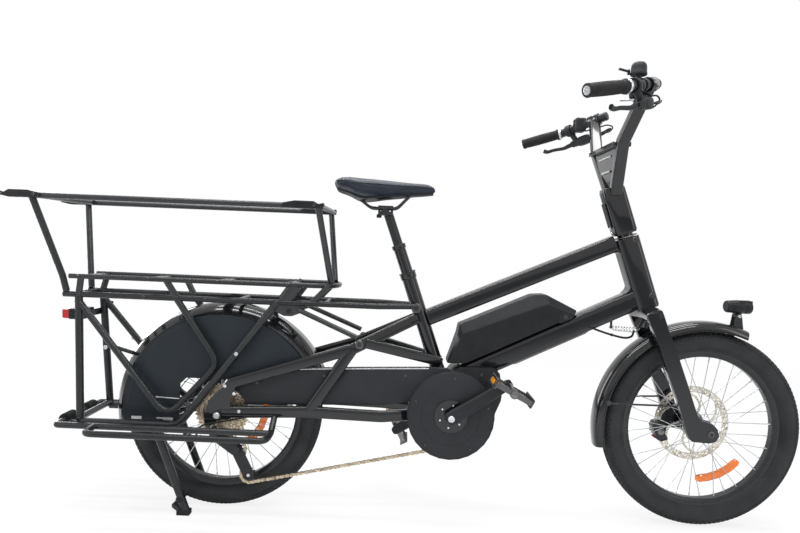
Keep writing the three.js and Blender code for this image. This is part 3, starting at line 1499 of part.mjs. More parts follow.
function frontMudguard() {
  const { radius, wide, wall, lip, from, to, bracket, flatShare, innerShare } = GUARD_FRONT;
  const half = wide / 2;
  const outer = [
    [radius - lip, -half],
    [radius, -half * flatShare],
    [radius, half * flatShare],
    [radius - lip, half],
  ];
  const inner = outer.map(([r, y]) => [r - wall, y * innerShare]).reverse();
  const shell = wedge(FRONT_X, AXLE_Z, [...outer, ...inner], 14, from, to - from);
  const crownFoot = byColumn(-FORK.crownHigh);
  const hook = box(
    at(crownFoot.x - bracket / 2, -bracket, AXLE_Z + radius - 2 * lip),
    at(crownFoot.x + bracket / 2, bracket, crownFoot.z),
  );
  return [shell, hook];
}
function stayWires(side) {
  const { radius, lip, wide, wire, wireFrom: angle, wireBack, wireUp } = GUARD_FRONT;
  const r = radius - lip;
  const foot = at(FRONT_X + r * Math.cos(angle), (side * wide) / 2, AXLE_Z + r * Math.sin(angle));
  const legFace = FORK.legY - FORK.legWide / 2 + GAP;
  return rod(foot, at(FRONT_X - wireBack, side * legFace, AXLE_Z + wireUp), wire, 6);
}
function caliper() {
  const { angle, radius, long, high, y0, y1, slot } = CALIPER;
  const [x, z] = [FRONT_X + radius * Math.cos(angle), AXLE_Z + radius * Math.sin(angle)];
  const [c, s] = [Math.cos(FORK_SLOPE), Math.sin(FORK_SLOPE)];
  const corner = (u, v) => [x + u * c - v * s, z + u * s + v * c];
  const corners = rectangle(-long / 2, -high / 2, long / 2, high / 2);
  const outline = roundedOutline(corners.map(([u, v]) => corner(u, v)), high / 4, 1);
  const block = plate(outline, y0, y1);
  // Its foot reaches forward to the fork leg, outside the disc
  const foot = [
    corner((-long * 2) / 5, 0),
    corner((long * 2) / 5, 0),
    legPoint(CALIPER.footShares[0]),
    legPoint(CALIPER.footShares[1]),
  ];
  const tab = plate(foot, ROTOR.y + slot, y1);
  const slotRound = roundOutline(FRONT_X, AXLE_Z, ROTOR.radius + slot, 28);
  const gate = plate(slotRound, ROTOR.y - slot / 2, ROTOR.y + slot / 2);
  const spokesRoom = crossRod(FRONT_X, AXLE_Z, 0, ROTOR.y, ROTOR.inner - slot, 16);
  return cut(join(block, tab), gate, spokesRoom, forkLeg(LEFT, GAP));
}
const legPoint = (share) => [
  LEG_TOP.x + share * (FORK.legFootX - LEG_TOP.x),
  LEG_TOP.z + share * (FORK.legFootZ - LEG_TOP.z),
];
const FORK_SLOPE = Math.atan2(LEG_TOP.z - FORK.legFootZ, LEG_TOP.x - FORK.legFootX);
function forkLeg(side, extra = 0) {
  const y = side * FORK.legY;
  const path = [at(LEG_TOP.x, y, LEG_TOP.z), at(FORK.legFootX, y, FORK.legFootZ)];
  return tube(path, FORK.legWide + 2 * extra, FORK.legFore + 2 * extra, 8);
}

// Cockpit: a riser on the steerer, two arms that spread like a V, and a half bar on each
const COCKPIT = {
  armWide: 24,
  armFore: 30,
  armFootUp: 118,
  armFootY: 20,
  webX: 988,
  webY: 98,
  webZ: 990,
  webThick: 10,
  webFore: 44,
  clampShare: 0.26,
  clampWall: 5,
  clampHalf: 16.5,
  barDiameter: 25,
  barEndX: 1032,
  barEndY: 168,
  barEndZ: 1112,
  gripInX: 937,
  gripInY: 265,
  gripInZ: 1078,
  gripOutX: 830,
  gripOutY: 320,
  gripOutZ: 1050,
  gripDiameter: 32,
  gripShares: { start: 0.12, flange: 0.06 },
};
const barPoint = (side, x, y, z) => at(x, side * y, z);
function barPath(side) {
  const c = COCKPIT;
  return [
    barPoint(side, c.barEndX, c.barEndY, c.barEndZ),
    barPoint(side, c.gripInX, c.gripInY, c.gripInZ),
    barPoint(side, c.gripOutX, c.gripOutY, c.gripOutZ),
  ];
}
// A place on the straight front stretch of a half bar: a share of the way from its end to the grip
const onBar = (side, share) => along(barPath(side)[0], barPath(side)[1], share);
function halfBar(side, extra = 0) {
  const d = COCKPIT.barDiameter + 2 * extra;
  return tube(bent(barPath(side), 4 * COCKPIT.barDiameter, 4), d, d, 10);
}
// A collar round the straight front stretch of a half bar
const barAxis = (side) => onBar(side, 1).sub(onBar(side, 0)).normalize();
function barCollar(side, middle, half, wall) {
  const reach = barAxis(side).multiplyScalar(half);
  return rod(middle.clone().sub(reach), middle.clone().add(reach), COCKPIT.barDiameter / 2 + wall, 10);
}
function stem() {
  const c = COCKPIT;
  const riser = tube(
    [byColumn(COLUMN.headLength + PLAY), byColumn(COLUMN.headLength + COLUMN.riserLength)],
    COLUMN.riserWide,
    COLUMN.riserFore,
    12,
  );
  const pieces = [riser];
  for (const side of [RIGHT, LEFT]) {
    const foot = byColumn(COLUMN.headLength + c.armFootUp, 0, side * c.armFootY);
    const elbow = at(c.webX, side * c.webY, c.webZ);
    const top = clampSpot(side);
    pieces.push(beam([foot, elbow, top], c.armFore, c.armWide));
    pieces.push(barCollar(side, clampSpot(side), c.clampHalf, c.clampWall));
  }
  const web = box(
    at(c.webX - c.webFore / 2, -c.webY, c.webZ - c.webThick),
    at(c.webX + c.webFore / 2, c.webY, c.webZ),
  );
  pieces.push(web);
  const bore = rod(byColumn(0), byColumn(FORK.steererTop + GAP), COLUMN.steererRadius + GAP, 12);
  return cut(join(pieces), bore, halfBar(RIGHT, GAP), halfBar(LEFT, GAP));
}
const clampSpot = (side) => onBar(side, COCKPIT.clampShare);
function grip(side) {
  const c = COCKPIT;
  const outer = barPoint(side, c.gripOutX, c.gripOutY, c.gripOutZ);
  const inner = barPoint(side, c.gripInX, c.gripInY, c.gripInZ);
  const start = along(inner, outer, c.gripShares.start);
  const end = outer.clone().add(outer.clone().sub(inner).setLength(2 * PLAY));
  const body = rod(start, end, c.gripDiameter / 2, 10);
  const flange = rod(start, along(start, end, c.gripShares.flange), c.gripDiameter / 2 + 2 * PLAY, 10);
  return cut(join(body, flange), halfBar(side, GAP));
}

// Levers and controls on the bars
const LEVER = {
  clampShare: 0.86,
  tankShare: 0.45,
  drop: 40,
  forward: 14,
  tankWide: 24,
  tankHigh: 22,
  ring: 5,
  ringHalf: 8,
  rootRadius: 7,
  rootHalf: 5,
  ear: 4,
  pin: 2.5,
  tipX: 890,
  tipY: 290,
  tipZ: 1022,
  blade: 10,
  thickShare: 0.9, // the blade's thickness against its width
  neckShare: 0.75, // where the neck meets the housing
  kneeShare: 0.35, // where the blade bends
};
function leverPivot(side) {
  return onBar(side, LEVER.clampShare).add(at(LEVER.forward, 0, -LEVER.drop));
}
const UP = at(0, 0, 1);
const post = (centre, low, high, radius, sides, axis = UP) =>
  rod(centre.clone().addScaledVector(axis, low), centre.clone().addScaledVector(axis, high), radius, sides);
// The lever's pin lies level, square to the grip
function leverAxis(side) {
  const [, inner, outer] = barPath(side);
  return outer.clone().sub(inner).cross(UP).normalize();
}
function controlBody(side) {
  const clamp = onBar(side, LEVER.clampShare);
  const { ring, ringHalf, drop, ear, pin, rootHalf, rootRadius } = LEVER;
  const collar = barCollar(side, clamp, ringHalf, ring);
  const pivot = leverPivot(side);
  const tankEnd = onBar(side, LEVER.tankShare).add(at(LEVER.forward, 0, -drop));
  const tankNear = pivot.clone().addScaledVector(barAxis(side), ringHalf);
  const tank = tube([tankEnd, tankNear], LEVER.tankHigh, LEVER.tankWide);
  const neck = tube([clamp, along(tankEnd, pivot, LEVER.neckShare)], ringHalf * 2, ringHalf * 2);
  const pinAxis = leverAxis(side);
  const room = post(pivot, -rootHalf - PLAY, rootHalf + PLAY, rootRadius + PLAY + ear, 8, pinAxis);
  const stud = post(pivot, -rootHalf - ear, rootHalf + ear, pin, 8, pinAxis);
  return cut(join(cut(join(collar, tank, neck), room), stud), halfBar(side, GAP));
}
const leverTip = (side) => at(LEVER.tipX, side * LEVER.tipY, LEVER.tipZ);
function leverBlade(side) {
  const { rootRadius, rootHalf, blade, pin, kneeShare, thickShare } = LEVER;
  const pivot = leverPivot(side);
  const tip = leverTip(side);
  const knee = along(pivot, tip, kneeShare).add(at(0, 0, -rootHalf));
  const pinAxis = leverAxis(side);
  const root = post(pivot, -rootHalf, rootHalf, rootRadius, 10, pinAxis);
  const bore = post(pivot, -OVERRUN, OVERRUN, pin + GAP, 8, pinAxis);
  const thick = blade * thickShare;
  return cut(join(root, tube(bent([pivot, knee, tip], 3 * blade, 2), thick, thick, 6)), bore);
}

// Bell with its striker on the right, and the motor's remote on the left
const BELL = {
  share: 0.715,
  radius: 18,
  high: 30,
  lift: 22,
  browShare: 0.7, // the dome's straight part
  crownShare: 0.6, // its top's radius
  neckShare: 0.35,
  strikerLong: 22,
  strikerThick: 5,
  pin: 3,
};
function bellPieces() {
  const { share, radius, high, lift, strikerLong, strikerThick: thick, pin } = BELL;
  const spot = onBar(RIGHT, share);
  const collar = barCollar(RIGHT, spot, 2 * pin, pin);
  const browUp = lift + high * BELL.browShare;
  const brow = spot.clone().addScaledVector(UP, browUp);
  const crown = spot.clone().addScaledVector(UP, lift + high);
  const cap = rod(brow, crown, radius, 12, radius * BELL.crownShare);
  const dome = join(post(spot, lift, browUp, radius, 12), cap);
  const neck = post(spot, 0, lift + PLAY, radius * BELL.neckShare, 6);
  const hinge = spot.clone().add(at(-radius - pin - PLAY, 0, lift + high / 4));
  const armFrom = spot.clone().add(at(0, 0, lift + thick / 2));
  const armTo = hinge.clone().add(at(-pin, 0, thick / 2 - high / 4));
  const arm = tube([armFrom, armTo], thick, thick, 6);
  const peg = post(hinge, -high / 4, thick, pin / 2, 8);
  const root = post(hinge, -thick / 2, thick / 2, pin, 10);
  const tip = hinge.clone().add(at(-strikerLong, 0, high / 6));
  const blade = tube([hinge, tip], 2 * thick, thick, 6);
  const bore = post(hinge, -OVERRUN, OVERRUN, boreRadius(pin / 2, 8), 8);
  return {
    bell: cut(join(collar, dome, neck, arm, peg), halfBar(RIGHT, GAP)),
    striker: cut(join(root, blade), bore),
  };
}
const REMOTE = { share: 0.585, long: 34, wide: 38, high: 42, offset: 3 };
function remote() {
  const { share, long, wide, high, offset } = REMOTE;
  const spot = onBar(LEFT, share).add(at(-offset, 0, offset));
  const body = box(
    spot.clone().sub(at(long / 2, wide / 2, high / 2)),
    spot.clone().add(at(long / 2, wide / 2, high / 2)),
  );
  return cut(body, halfBar(LEFT, GAP));
}
// Gear shifter: a pod under the right bar with a thumb lever
const SHIFTER = {
  share: 0.56,
  radius: 13,
  high: 14,
  back: 15,
  drop: 26,
  long: 30,
  thick: 6,
  thinShare: 0.8, // the lever's height against its boss
  pin: 3,
};
function shifterPieces() {
  const { share, radius, high, back, drop, long, thick, thinShare, pin } = SHIFTER;
  const spot = onBar(RIGHT, share);
  const behind = UP.clone().cross(barAxis(RIGHT)).normalize();
  const low = spot.clone().addScaledVector(behind, -back).addScaledVector(UP, -drop);
  const collar = barCollar(RIGHT, spot, 2 * pin, pin);
  const pod = post(low, 0, high, radius, 16);
  const neck = rod(spot, low.clone().add(at(0, 0, high / 2)), 2 * pin, 8);
  const peg = post(low, -thick - 2 * PLAY, PLAY, pin, 8);
  const root = low.clone().add(at(0, 0, -thick / 2 - PLAY));
  const paddle = tube([root, root.clone().add(at(-long, long / 3, 0))], thinShare * thick, 2 * thick, 6);
  const lever = join(post(low, -thick - PLAY, -PLAY, 2 * pin, 10), paddle);
  return {
    pod: cut(join(collar, pod, neck, peg), halfBar(RIGHT, GAP)),
    lever: cut(lever, post(low, -OVERRUN, 0, boreRadius(pin, 8), 8)),
  };
}

// Lamp at the front: a bracket on the mudguard's crown and a barrel that tilts on it
const HEADLAMP = {
  x: 1350,
  z: 586,
  long: 64,
  radius: 18,
  earGap: 12,
  earThick: 3,
  eye: 7,
  hingeDrop: 24,
  pin: 3,
  frontShare: 0.86, // the barrel's front radius against its rear
  hoodShares: { wide: 0.8, high: 0.95 },
};
function headlampPieces() {
  const { x, z, long, radius, earGap, earThick, hingeDrop, hoodShares, pin: pinRadius } = HEADLAMP;
  const hinge = z - hingeDrop;
  const barrel = rod(
    at(x - long / 2, 0, z),
    at(x + long / 2, 0, z),
    radius,
    12,
    radius * HEADLAMP.frontShare,
  );
  const hood = box(
    at(x, -radius * hoodShares.wide, z),
    at(x + long / 2, radius * hoodShares.wide, z + radius * hoodShares.high),
  );
  const lugOutline = [
    [x - earGap, z - radius / 2],
    ...arc(x, hinge, HEADLAMP.eye, Math.PI, TURN, 5),
    [x + earGap, z - radius / 2],
  ];
  const lug = plate(lugOutline, -earGap / 2, earGap / 2);
  const eye = crossRod(x, hinge, -OVERRUN, OVERRUN, boreRadius(pinRadius, 10), 10);
  const lamp = cut(join(barrel, hood, lug), eye);
  const angle = Math.acos((x - FRONT_X) / GUARD_FRONT.radius);
  const seat = AXLE_Z + GUARD_FRONT.radius * Math.sin(angle);
  const ears = [-1, 1].map((way) => {
    const y = way * (earGap / 2 + PLAY);
    const outline = [
      [x - earGap, seat],
      [x + earGap, seat - earThick],
      ...arc(x, hinge, HEADLAMP.eye, 0, Math.PI, 5),
    ];
    return plate(outline, y, y + way * earThick);
  });
  const outerY = earGap / 2 + PLAY + earThick;
  const foot = box(at(x - earGap, -outerY, seat - 2 * earThick), at(x + earGap, outerY, seat));
  const pin = crossRod(x, hinge, -outerY, outerY, pinRadius, 10);
  return { lamp, bracket: join(...ears, foot, pin) };
}

// The steering spring: light steel coils between the down tube and the crown, and the brake hose's loop
const SPRING = {
  coils: 8,
  radius: 6.5,
  wire: 1.8,
  steps: 8,
  sides: 5,
  x0: 1024,
  x1: 1084,
  z0: 515,
  z1: 513,
};
// The lug under the down tube that the spring hooks to
function springLug() {
  const { x0, z0, radius, wire } = SPRING;
  const x = x0 - wire - GAP - radius / 2;
  return rod(at(x, 0, z0), at(x, 0, z0 + FRAME.downTube / 2 + radius), radius / 2, 8);
}
function steeringSpring() {
  const { coils, radius, wire, steps, sides, x0, x1, z0, z1 } = SPRING;
  const rows = [];
  const count = coils * steps;
  const axis = at(x1 - x0, 0, z1 - z0);
  const long = axis.length();
  axis.normalize();
  const up = at(-axis.z, 0, axis.x);
  const across = at(0, 1, 0);
  const centres = [];
  for (let i = 0; i <= count; i += 1) {
    const angle = (TURN * i) / steps;
    const out = up.clone().multiplyScalar(Math.cos(angle)).addScaledVector(across, Math.sin(angle));
    const centre = at(x0, 0, z0).addScaledVector(axis, (long * i) / count).addScaledVector(out, radius);
    centres.push(centre);
    const row = [];
    for (let k = 0; k < sides; k += 1) {
      const turn = (TURN * k) / sides;
      const [c, s] = [Math.cos(turn), Math.sin(turn)];
      row.push(centre.clone().addScaledVector(out, wire * c).addScaledVector(axis, wire * s));
    }
    rows.push(row);
  }
  // The least gap of the wire to itself, between centres at least half a turn apart
  const apart = (a, b) => a.distanceTo(b) - 2 * wire;
  const gaps = centres.flatMap((a, i) => centres.slice(i + steps / 2 + 1).map((b) => apart(a, b)));
  console.log("steering_spring: least gap to itself " + Math.min(...gaps).toFixed(2) + " mm");
  return skin(rows);
}

// The order of building: what stays with the frame, then what moves
buildFrame();
buildSeat();
buildStays("stays_right", RIGHT);
buildStays("stays_left", LEFT);
mesh("battery", battery(), SATIN_BLACK);
buildRack();
buildTail();
buildCovers();
buildGuard();
buildDrive();
buildStand();

mesh("rear_tyre", tyre(0), RUBBER);
mesh("rear_wheel", rimAndSpokes(0, REAR_HUB), SATIN_BLACK);
mesh("cassette", cassette(), STEEL);
mesh("front_tyre", tyre(FRONT_X), RUBBER);
mesh("front_wheel", rimAndSpokes(FRONT_X, FRONT_HUB), SATIN_BLACK);
mesh("front_rotor", rotor(FRONT_X), STEEL);

mesh("fork", fork(), GLOSS_BLACK);
const { lamp, bracket } = headlampPieces();
const [shell, hook] = frontMudguard();
const legs = [forkLeg(RIGHT, GAP), forkLeg(LEFT, GAP)];
const wires = [stayWires(RIGHT), stayWires(LEFT)];
mesh("front_mudguard", cut(join(shell, hook, bracket, ...wires), legs, forkCrown(GAP)), GLOSS_BLACK);
mesh("headlamp", lamp, SATIN_BLACK);
mesh("front_caliper", caliper(), SATIN_BLACK);
mesh("stem", stem(), GLOSS_BLACK);
for (const [word, side] of Object.entries(SIDES)) {
  mesh("handlebar_" + word, halfBar(side), SATIN_BLACK);
  mesh("grip_" + word, grip(side), RUBBER);
  mesh("brake_body_" + word, controlBody(side), SATIN_BLACK);
  mesh("brake_lever_" + word, leverBlade(side), SATIN_BLACK);
}
mesh("steering_spring", steeringSpring(), BARE_ALLOY);
const { bell, striker } = bellPieces();
mesh("bell", bell, SATIN_BLACK);
mesh("bell_striker", striker, SATIN_BLACK);
const { pod, lever } = shifterPieces();
mesh("shifter", pod, SATIN_BLACK);
mesh("shift_lever", lever, BARE_ALLOY);
mesh("remote", remote(), SATIN_BLACK);

// The origin: under the middle of the bike's length
const rearEnd = TOP_RAIL.rearX - TOP_RAIL.fittingTail;
frame.position.x = -(rearEnd + FRONT_X + TYRE_RADIUS) / 2;

export default bike;
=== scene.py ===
"""Longtail cargo bicycle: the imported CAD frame, dressed for a plain studio view."""
import math

import bmesh
import bpy
from mathutils import Matrix, Vector
from mathutils.bvhtree import BVHTree


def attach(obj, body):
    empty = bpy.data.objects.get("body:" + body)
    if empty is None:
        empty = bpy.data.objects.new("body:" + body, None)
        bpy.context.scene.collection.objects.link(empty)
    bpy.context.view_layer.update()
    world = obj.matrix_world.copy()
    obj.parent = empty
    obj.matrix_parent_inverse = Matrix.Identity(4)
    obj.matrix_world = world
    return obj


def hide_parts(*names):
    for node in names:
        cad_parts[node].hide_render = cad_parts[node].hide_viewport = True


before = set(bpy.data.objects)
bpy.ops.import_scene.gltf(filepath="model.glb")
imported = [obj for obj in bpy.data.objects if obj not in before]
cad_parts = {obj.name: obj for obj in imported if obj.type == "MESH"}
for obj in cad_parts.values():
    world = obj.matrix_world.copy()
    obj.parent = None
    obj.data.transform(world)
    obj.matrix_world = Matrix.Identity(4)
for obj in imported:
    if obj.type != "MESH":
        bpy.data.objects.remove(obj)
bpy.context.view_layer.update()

MM = 0.001
TURN = 2 * math.pi
ACROSS = Vector((0, 1, 0))
UP = Vector((0, 0, 1))
FORE = Vector((1, 0, 0))
SIDES = {"right": -1, "left": 1}

# Driving sizes in millimetres: X from the rear axle, Z from the ground
ORIGIN_X = 500  # the part's origin
AXLE_Z = 260
FRONT_X = 1266
CRANK_X = 597
CRANK_Z = 282
CRANK_LONG = 165
RING_RADIUS = 81
CHAIN_PITCH = 12.7
PULLEYS = {"upper": (46, 166), "lower": (80, 100)}
CROWN_X = 1109  # foot of the steering column, which leans back by LEAN
CROWN_Z = 575
LEAN = math.radians(19.4)
RAIL_Y = 60  # the rack's lower rails
RAIL_Z = 554
DECK_Y = 67
DECK_Z = 601
HOOP_Y = 128
HOOP_Z = 799
STEP_Z = 229
TAIL_Z = 498
BUMPER_X = -394
SADDLE_BACK = 271
SADDLE_LONG = 272
SADDLE_HALF = 93
SADDLE_TOP = 884
SADDLE_DEEP = 62
SADDLE_HIGH = 81
CASE_LONG = 330  # the battery
CASE_HIGH = 98
CASE_HALF = 42
LAMP_X = 1350  # the headlamp's hinge
LAMP_Z = 562
EAR_RADIUS = 7.2


def P(x, y, z):
    """A point of the part, from millimetres ahead of the rear axle, to the left and above the ground."""
    return Vector(((x - ORIGIN_X) * MM, y * MM, z * MM))


# Camera, light and floor. The camera is the one that the photograph's wheels and rails fit.
CAMERA_PLACE = (-0.038, -1.542, 0.713)
CAMERA_YAW = -0.38
CAMERA_PITCH = -2.10
CAMERA_ROLL = 2.32
FOCAL_PIXELS = 580.9
PICTURE_PIXELS = 800
SENSOR_WIDE = 36


def set_camera():
    yaw, pitch, roll = (math.radians(angle) for angle in (CAMERA_YAW, CAMERA_PITCH, CAMERA_ROLL))
    ahead = Vector((math.sin(yaw) * math.cos(pitch), math.cos(yaw) * math.cos(pitch), math.sin(pitch)))
    side = ahead.cross(UP).normalized()
    top = side.cross(ahead)
    right = math.cos(roll) * side + math.sin(roll) * top
    top = math.cos(roll) * top - math.sin(roll) * side
    data = bpy.data.cameras.new("camera")
    data.sensor_width = SENSOR_WIDE
    data.lens = FOCAL_PIXELS / PICTURE_PIXELS * SENSOR_WIDE
    data.clip_start = 0.05
    data.clip_end = 100
    camera = bpy.data.objects.new("camera", data)
    turn = Matrix((right, top, -ahead)).transposed().to_4x4()
    camera.matrix_world = Matrix.Translation(CAMERA_PLACE) @ turn
    bpy.context.collection.objects.link(camera)
    bpy.context.scene.camera = camera


def lamp(name, place, target, size, power):
    data = bpy.data.lights.new(name, "AREA")
    data.shape = "RECTANGLE"
    data.size, data.size_y = size
    data.energy = power
    obj = bpy.data.objects.new(name, data)
    place = Vector(place)
    turn = (Vector(target) - place).to_track_quat("-Z", "Y").to_matrix().to_4x4()
    obj.matrix_world = Matrix.Translation(place) @ turn
    bpy.context.collection.objects.link(obj)


def set_light():
    world = bpy.data.worlds.new("studio")
    bpy.context.scene.world = world
    world.use_nodes = True
    nodes, links = world.node_tree.nodes, world.node_tree.links
    nodes.clear()
    out = nodes.new("ShaderNodeOutputWorld")
    path = nodes.new("ShaderNodeLightPath")
    seen = nodes.new("ShaderNodeMath")
    seen.operation = "MAXIMUM"
    links.new(path.outputs["Is Camera Ray"], seen.inputs[0])
    links.new(path.outputs["Is Transmission Ray"], seen.inputs[1])
    shown = nodes.new("ShaderNodeMath")
    shown.operation = "MAXIMUM"
    links.new(seen.outputs[0], shown.inputs[0])
    links.new(path.outputs["Is Glossy Ray"], shown.inputs[1])
    plain = nodes.new("ShaderNodeBackground")
    plain.inputs["Color"].default_value = (0.93, 0.95, 1, 1)
    plain.inputs["Strength"].default_value = 0.38
    white = nodes.new("ShaderNodeBackground")
    white.inputs["Color"].default_value = (1, 1, 1, 1)
    mix = nodes.new("ShaderNodeMixShader")
    links.new(shown.outputs[0], mix.inputs["Fac"])
    links.new(plain.outputs[0], mix.inputs[1])
    links.new(white.outputs[0], mix.inputs[2])
    links.new(mix.outputs[0], out.inputs["Surface"])
    lamp("strip_above", (0, -0.1, 3.3), (0, 0, 0.5), (3.4, 0.4), 66)
    lamp("strip_front", (0, -1.5, 3.0), (0, 0, 0.5), (3.4, 0.22), 44)
    lamp("strip_back", (0, 1.3, 3.0), (0, 0, 0.5), (3.2, 0.24), 34)
    lamp("strip_left", (-2.7, -2.0, 1.3), (0, 0, 0.6), (0.4, 2.2), 10)
    lamp("strip_right", (2.7, -2.0, 1.3), (0, 0, 0.6), (0.4, 2.2), 9)
    lamp("strip_behind", (-2.4, 1.9, 1.2), (-0.2, 0, 0.7), (0.7, 1.8), 26)


def set_floor():
    mesh = bpy.data.meshes.new("floor")
    reach = 30
    mesh.from_pydata([(-reach, -reach, 0), (reach, -reach, 0), (reach, reach, 0), (-reach, reach, 0)], [],
                     [(0, 1, 2, 3)])
    floor = bpy.data.objects.new("floor", mesh)
    floor.location.z = -0.0004
    bpy.context.collection.objects.link(floor)
    look = bpy.data.materials.new("pale_floor")
    look.use_nodes = True
    nodes, links = look.node_tree.nodes, look.node_tree.links
    shader = nodes["Principled BSDF"]
    shader.inputs["Base Color"].default_value = (0.95, 0.95, 0.95, 1)
    shader.inputs["Roughness"].default_value = 0.9
    shader.inputs["Specular IOR Level"].default_value = 0.1
    # Far off the floor turns as white as the world behind it
    place = nodes.new("ShaderNodeTexCoord")
    distance = nodes.new("ShaderNodeVectorMath")
    distance.operation = "LENGTH"
    fade = nodes.new("ShaderNodeMapRange")
    fade.inputs["From Min"].default_value = 1.2
    fade.inputs["From Max"].default_value = 3.6
    fade.inputs["To Min"].default_value = 0.84
    white = nodes.new("ShaderNodeEmission")
    white.inputs["Color"].default_value = (1, 1, 1, 1)
    mix = nodes.new("ShaderNodeMixShader")
    path = nodes.new("ShaderNodeLightPath")
    seen = nodes.new("ShaderNodeMath")
    seen.operation = "MULTIPLY"
    links.new(place.outputs["Object"], distance.inputs[0])
    links.new(distance.outputs["Value"], fade.inputs["Value"])
    links.new(fade.outputs["Result"], seen.inputs[0])
    links.new(path.outputs["Is Camera Ray"], seen.inputs[1])
    links.new(seen.outputs[0], mix.inputs["Fac"])
    links.new(shader.outputs[0], mix.inputs[1])
    links.new(white.outputs[0], mix.inputs[2])
    links.new(mix.outputs[0], nodes["Material Output"].inputs["Surface"])
    mesh.materials.append(look)


# Materials
def material(name, color, rough, metal=0.0, *, tint=0.25, tint_size=40, grain=0.0, grain_size=900,
             cells=0.0, cell_size=700, wear=0.0, wear_color=(0.5, 0.5, 0.5), coat=0.0, coat_rough=0.08,
             rough_spread=0.08, streak=None, specks=None, sheen=0.0, glass=0.0):
    """A procedural finish. Sizes are in features per metre, bumps in millimetres."""
    look = bpy.data.materials.new(name)
    look.use_nodes = True
    nodes, links = look.node_tree.nodes, look.node_tree.links
    shader = nodes["Principled BSDF"]
    shader.inputs["Metallic"].default_value = metal
    shader.inputs["Specular IOR Level"].default_value = 0.22
    shader.inputs["Coat Weight"].default_value = coat
    shader.inputs["Coat Roughness"].default_value = coat_rough
    shader.inputs["Sheen Weight"].default_value = sheen
    shader.inputs["Transmission Weight"].default_value = glass
    place = nodes.new("ShaderNodeTexCoord").outputs["Object"]
    if streak:
        scale = nodes.new("ShaderNodeVectorMath")
        scale.operation = "MULTIPLY"
        scale.inputs[1].default_value = streak
        links.new(place, scale.inputs[0])
        place = scale.outputs[0]

    def noise(size, detail=3.0):
        node = nodes.new("ShaderNodeTexNoise")
        node.inputs["Scale"].default_value = size
        node.inputs["Detail"].default_value = detail
        links.new(place, node.inputs["Vector"])
        return node.outputs["Fac"]

    def ramp(source, low, high, low_at=0.3, high_at=0.7):
        node = nodes.new("ShaderNodeMapRange")
        node.inputs["From Min"].default_value = low_at
        node.inputs["From Max"].default_value = high_at
        node.inputs["To Min"].default_value = low
        node.inputs["To Max"].default_value = high
        links.new(source, node.inputs["Value"])
        return node.outputs["Result"]

    def mixed(factor, a, b):
        node = nodes.new("ShaderNodeMix")
        node.data_type = "RGBA"
        links.new(factor, node.inputs["Factor"])
        for socket, value in ((node.inputs[6], a), (node.inputs[7], b)):
            if isinstance(value, tuple):
                socket.default_value = (*value, 1)
            else:
                links.new(value, socket)
        return node.outputs[2]

    dark = tuple(c * (1 - tint) for c in color)
    light = tuple(min(1, c * (1 + tint)) for c in color)
    base = mixed(ramp(noise(tint_size), 0, 1), dark, light)
    if specks:
        speck_color, speck_size, speck_low = specks
        base = mixed(ramp(noise(speck_size, 1.0), 0, 1, speck_low, speck_low + 0.08), base, speck_color)
    if wear:
        edge = nodes.new("ShaderNodeNewGeometry").outputs["Pointiness"]
        base = mixed(ramp(edge, 0, wear, 0.52, 0.62), base, wear_color)
    links.new(base, shader.inputs["Base Color"])
    links.new(ramp(noise(tint_size * 2.3), rough - rough_spread, rough + rough_spread),
              shader.inputs["Roughness"])
    height = None
    if grain:
        height, depth = noise(grain_size, 2.0), grain
    if cells:
        node = nodes.new("ShaderNodeTexVoronoi")
        node.inputs["Scale"].default_value = cell_size
        links.new(place, node.inputs["Vector"])
        height, depth = node.outputs["Distance"], cells
    if height is not None:
        bump = nodes.new("ShaderNodeBump")
        bump.inputs["Distance"].default_value = depth * MM
        links.new(height, bump.inputs["Height"])
        links.new(bump.outputs["Normal"], shader.inputs["Normal"])
    return look


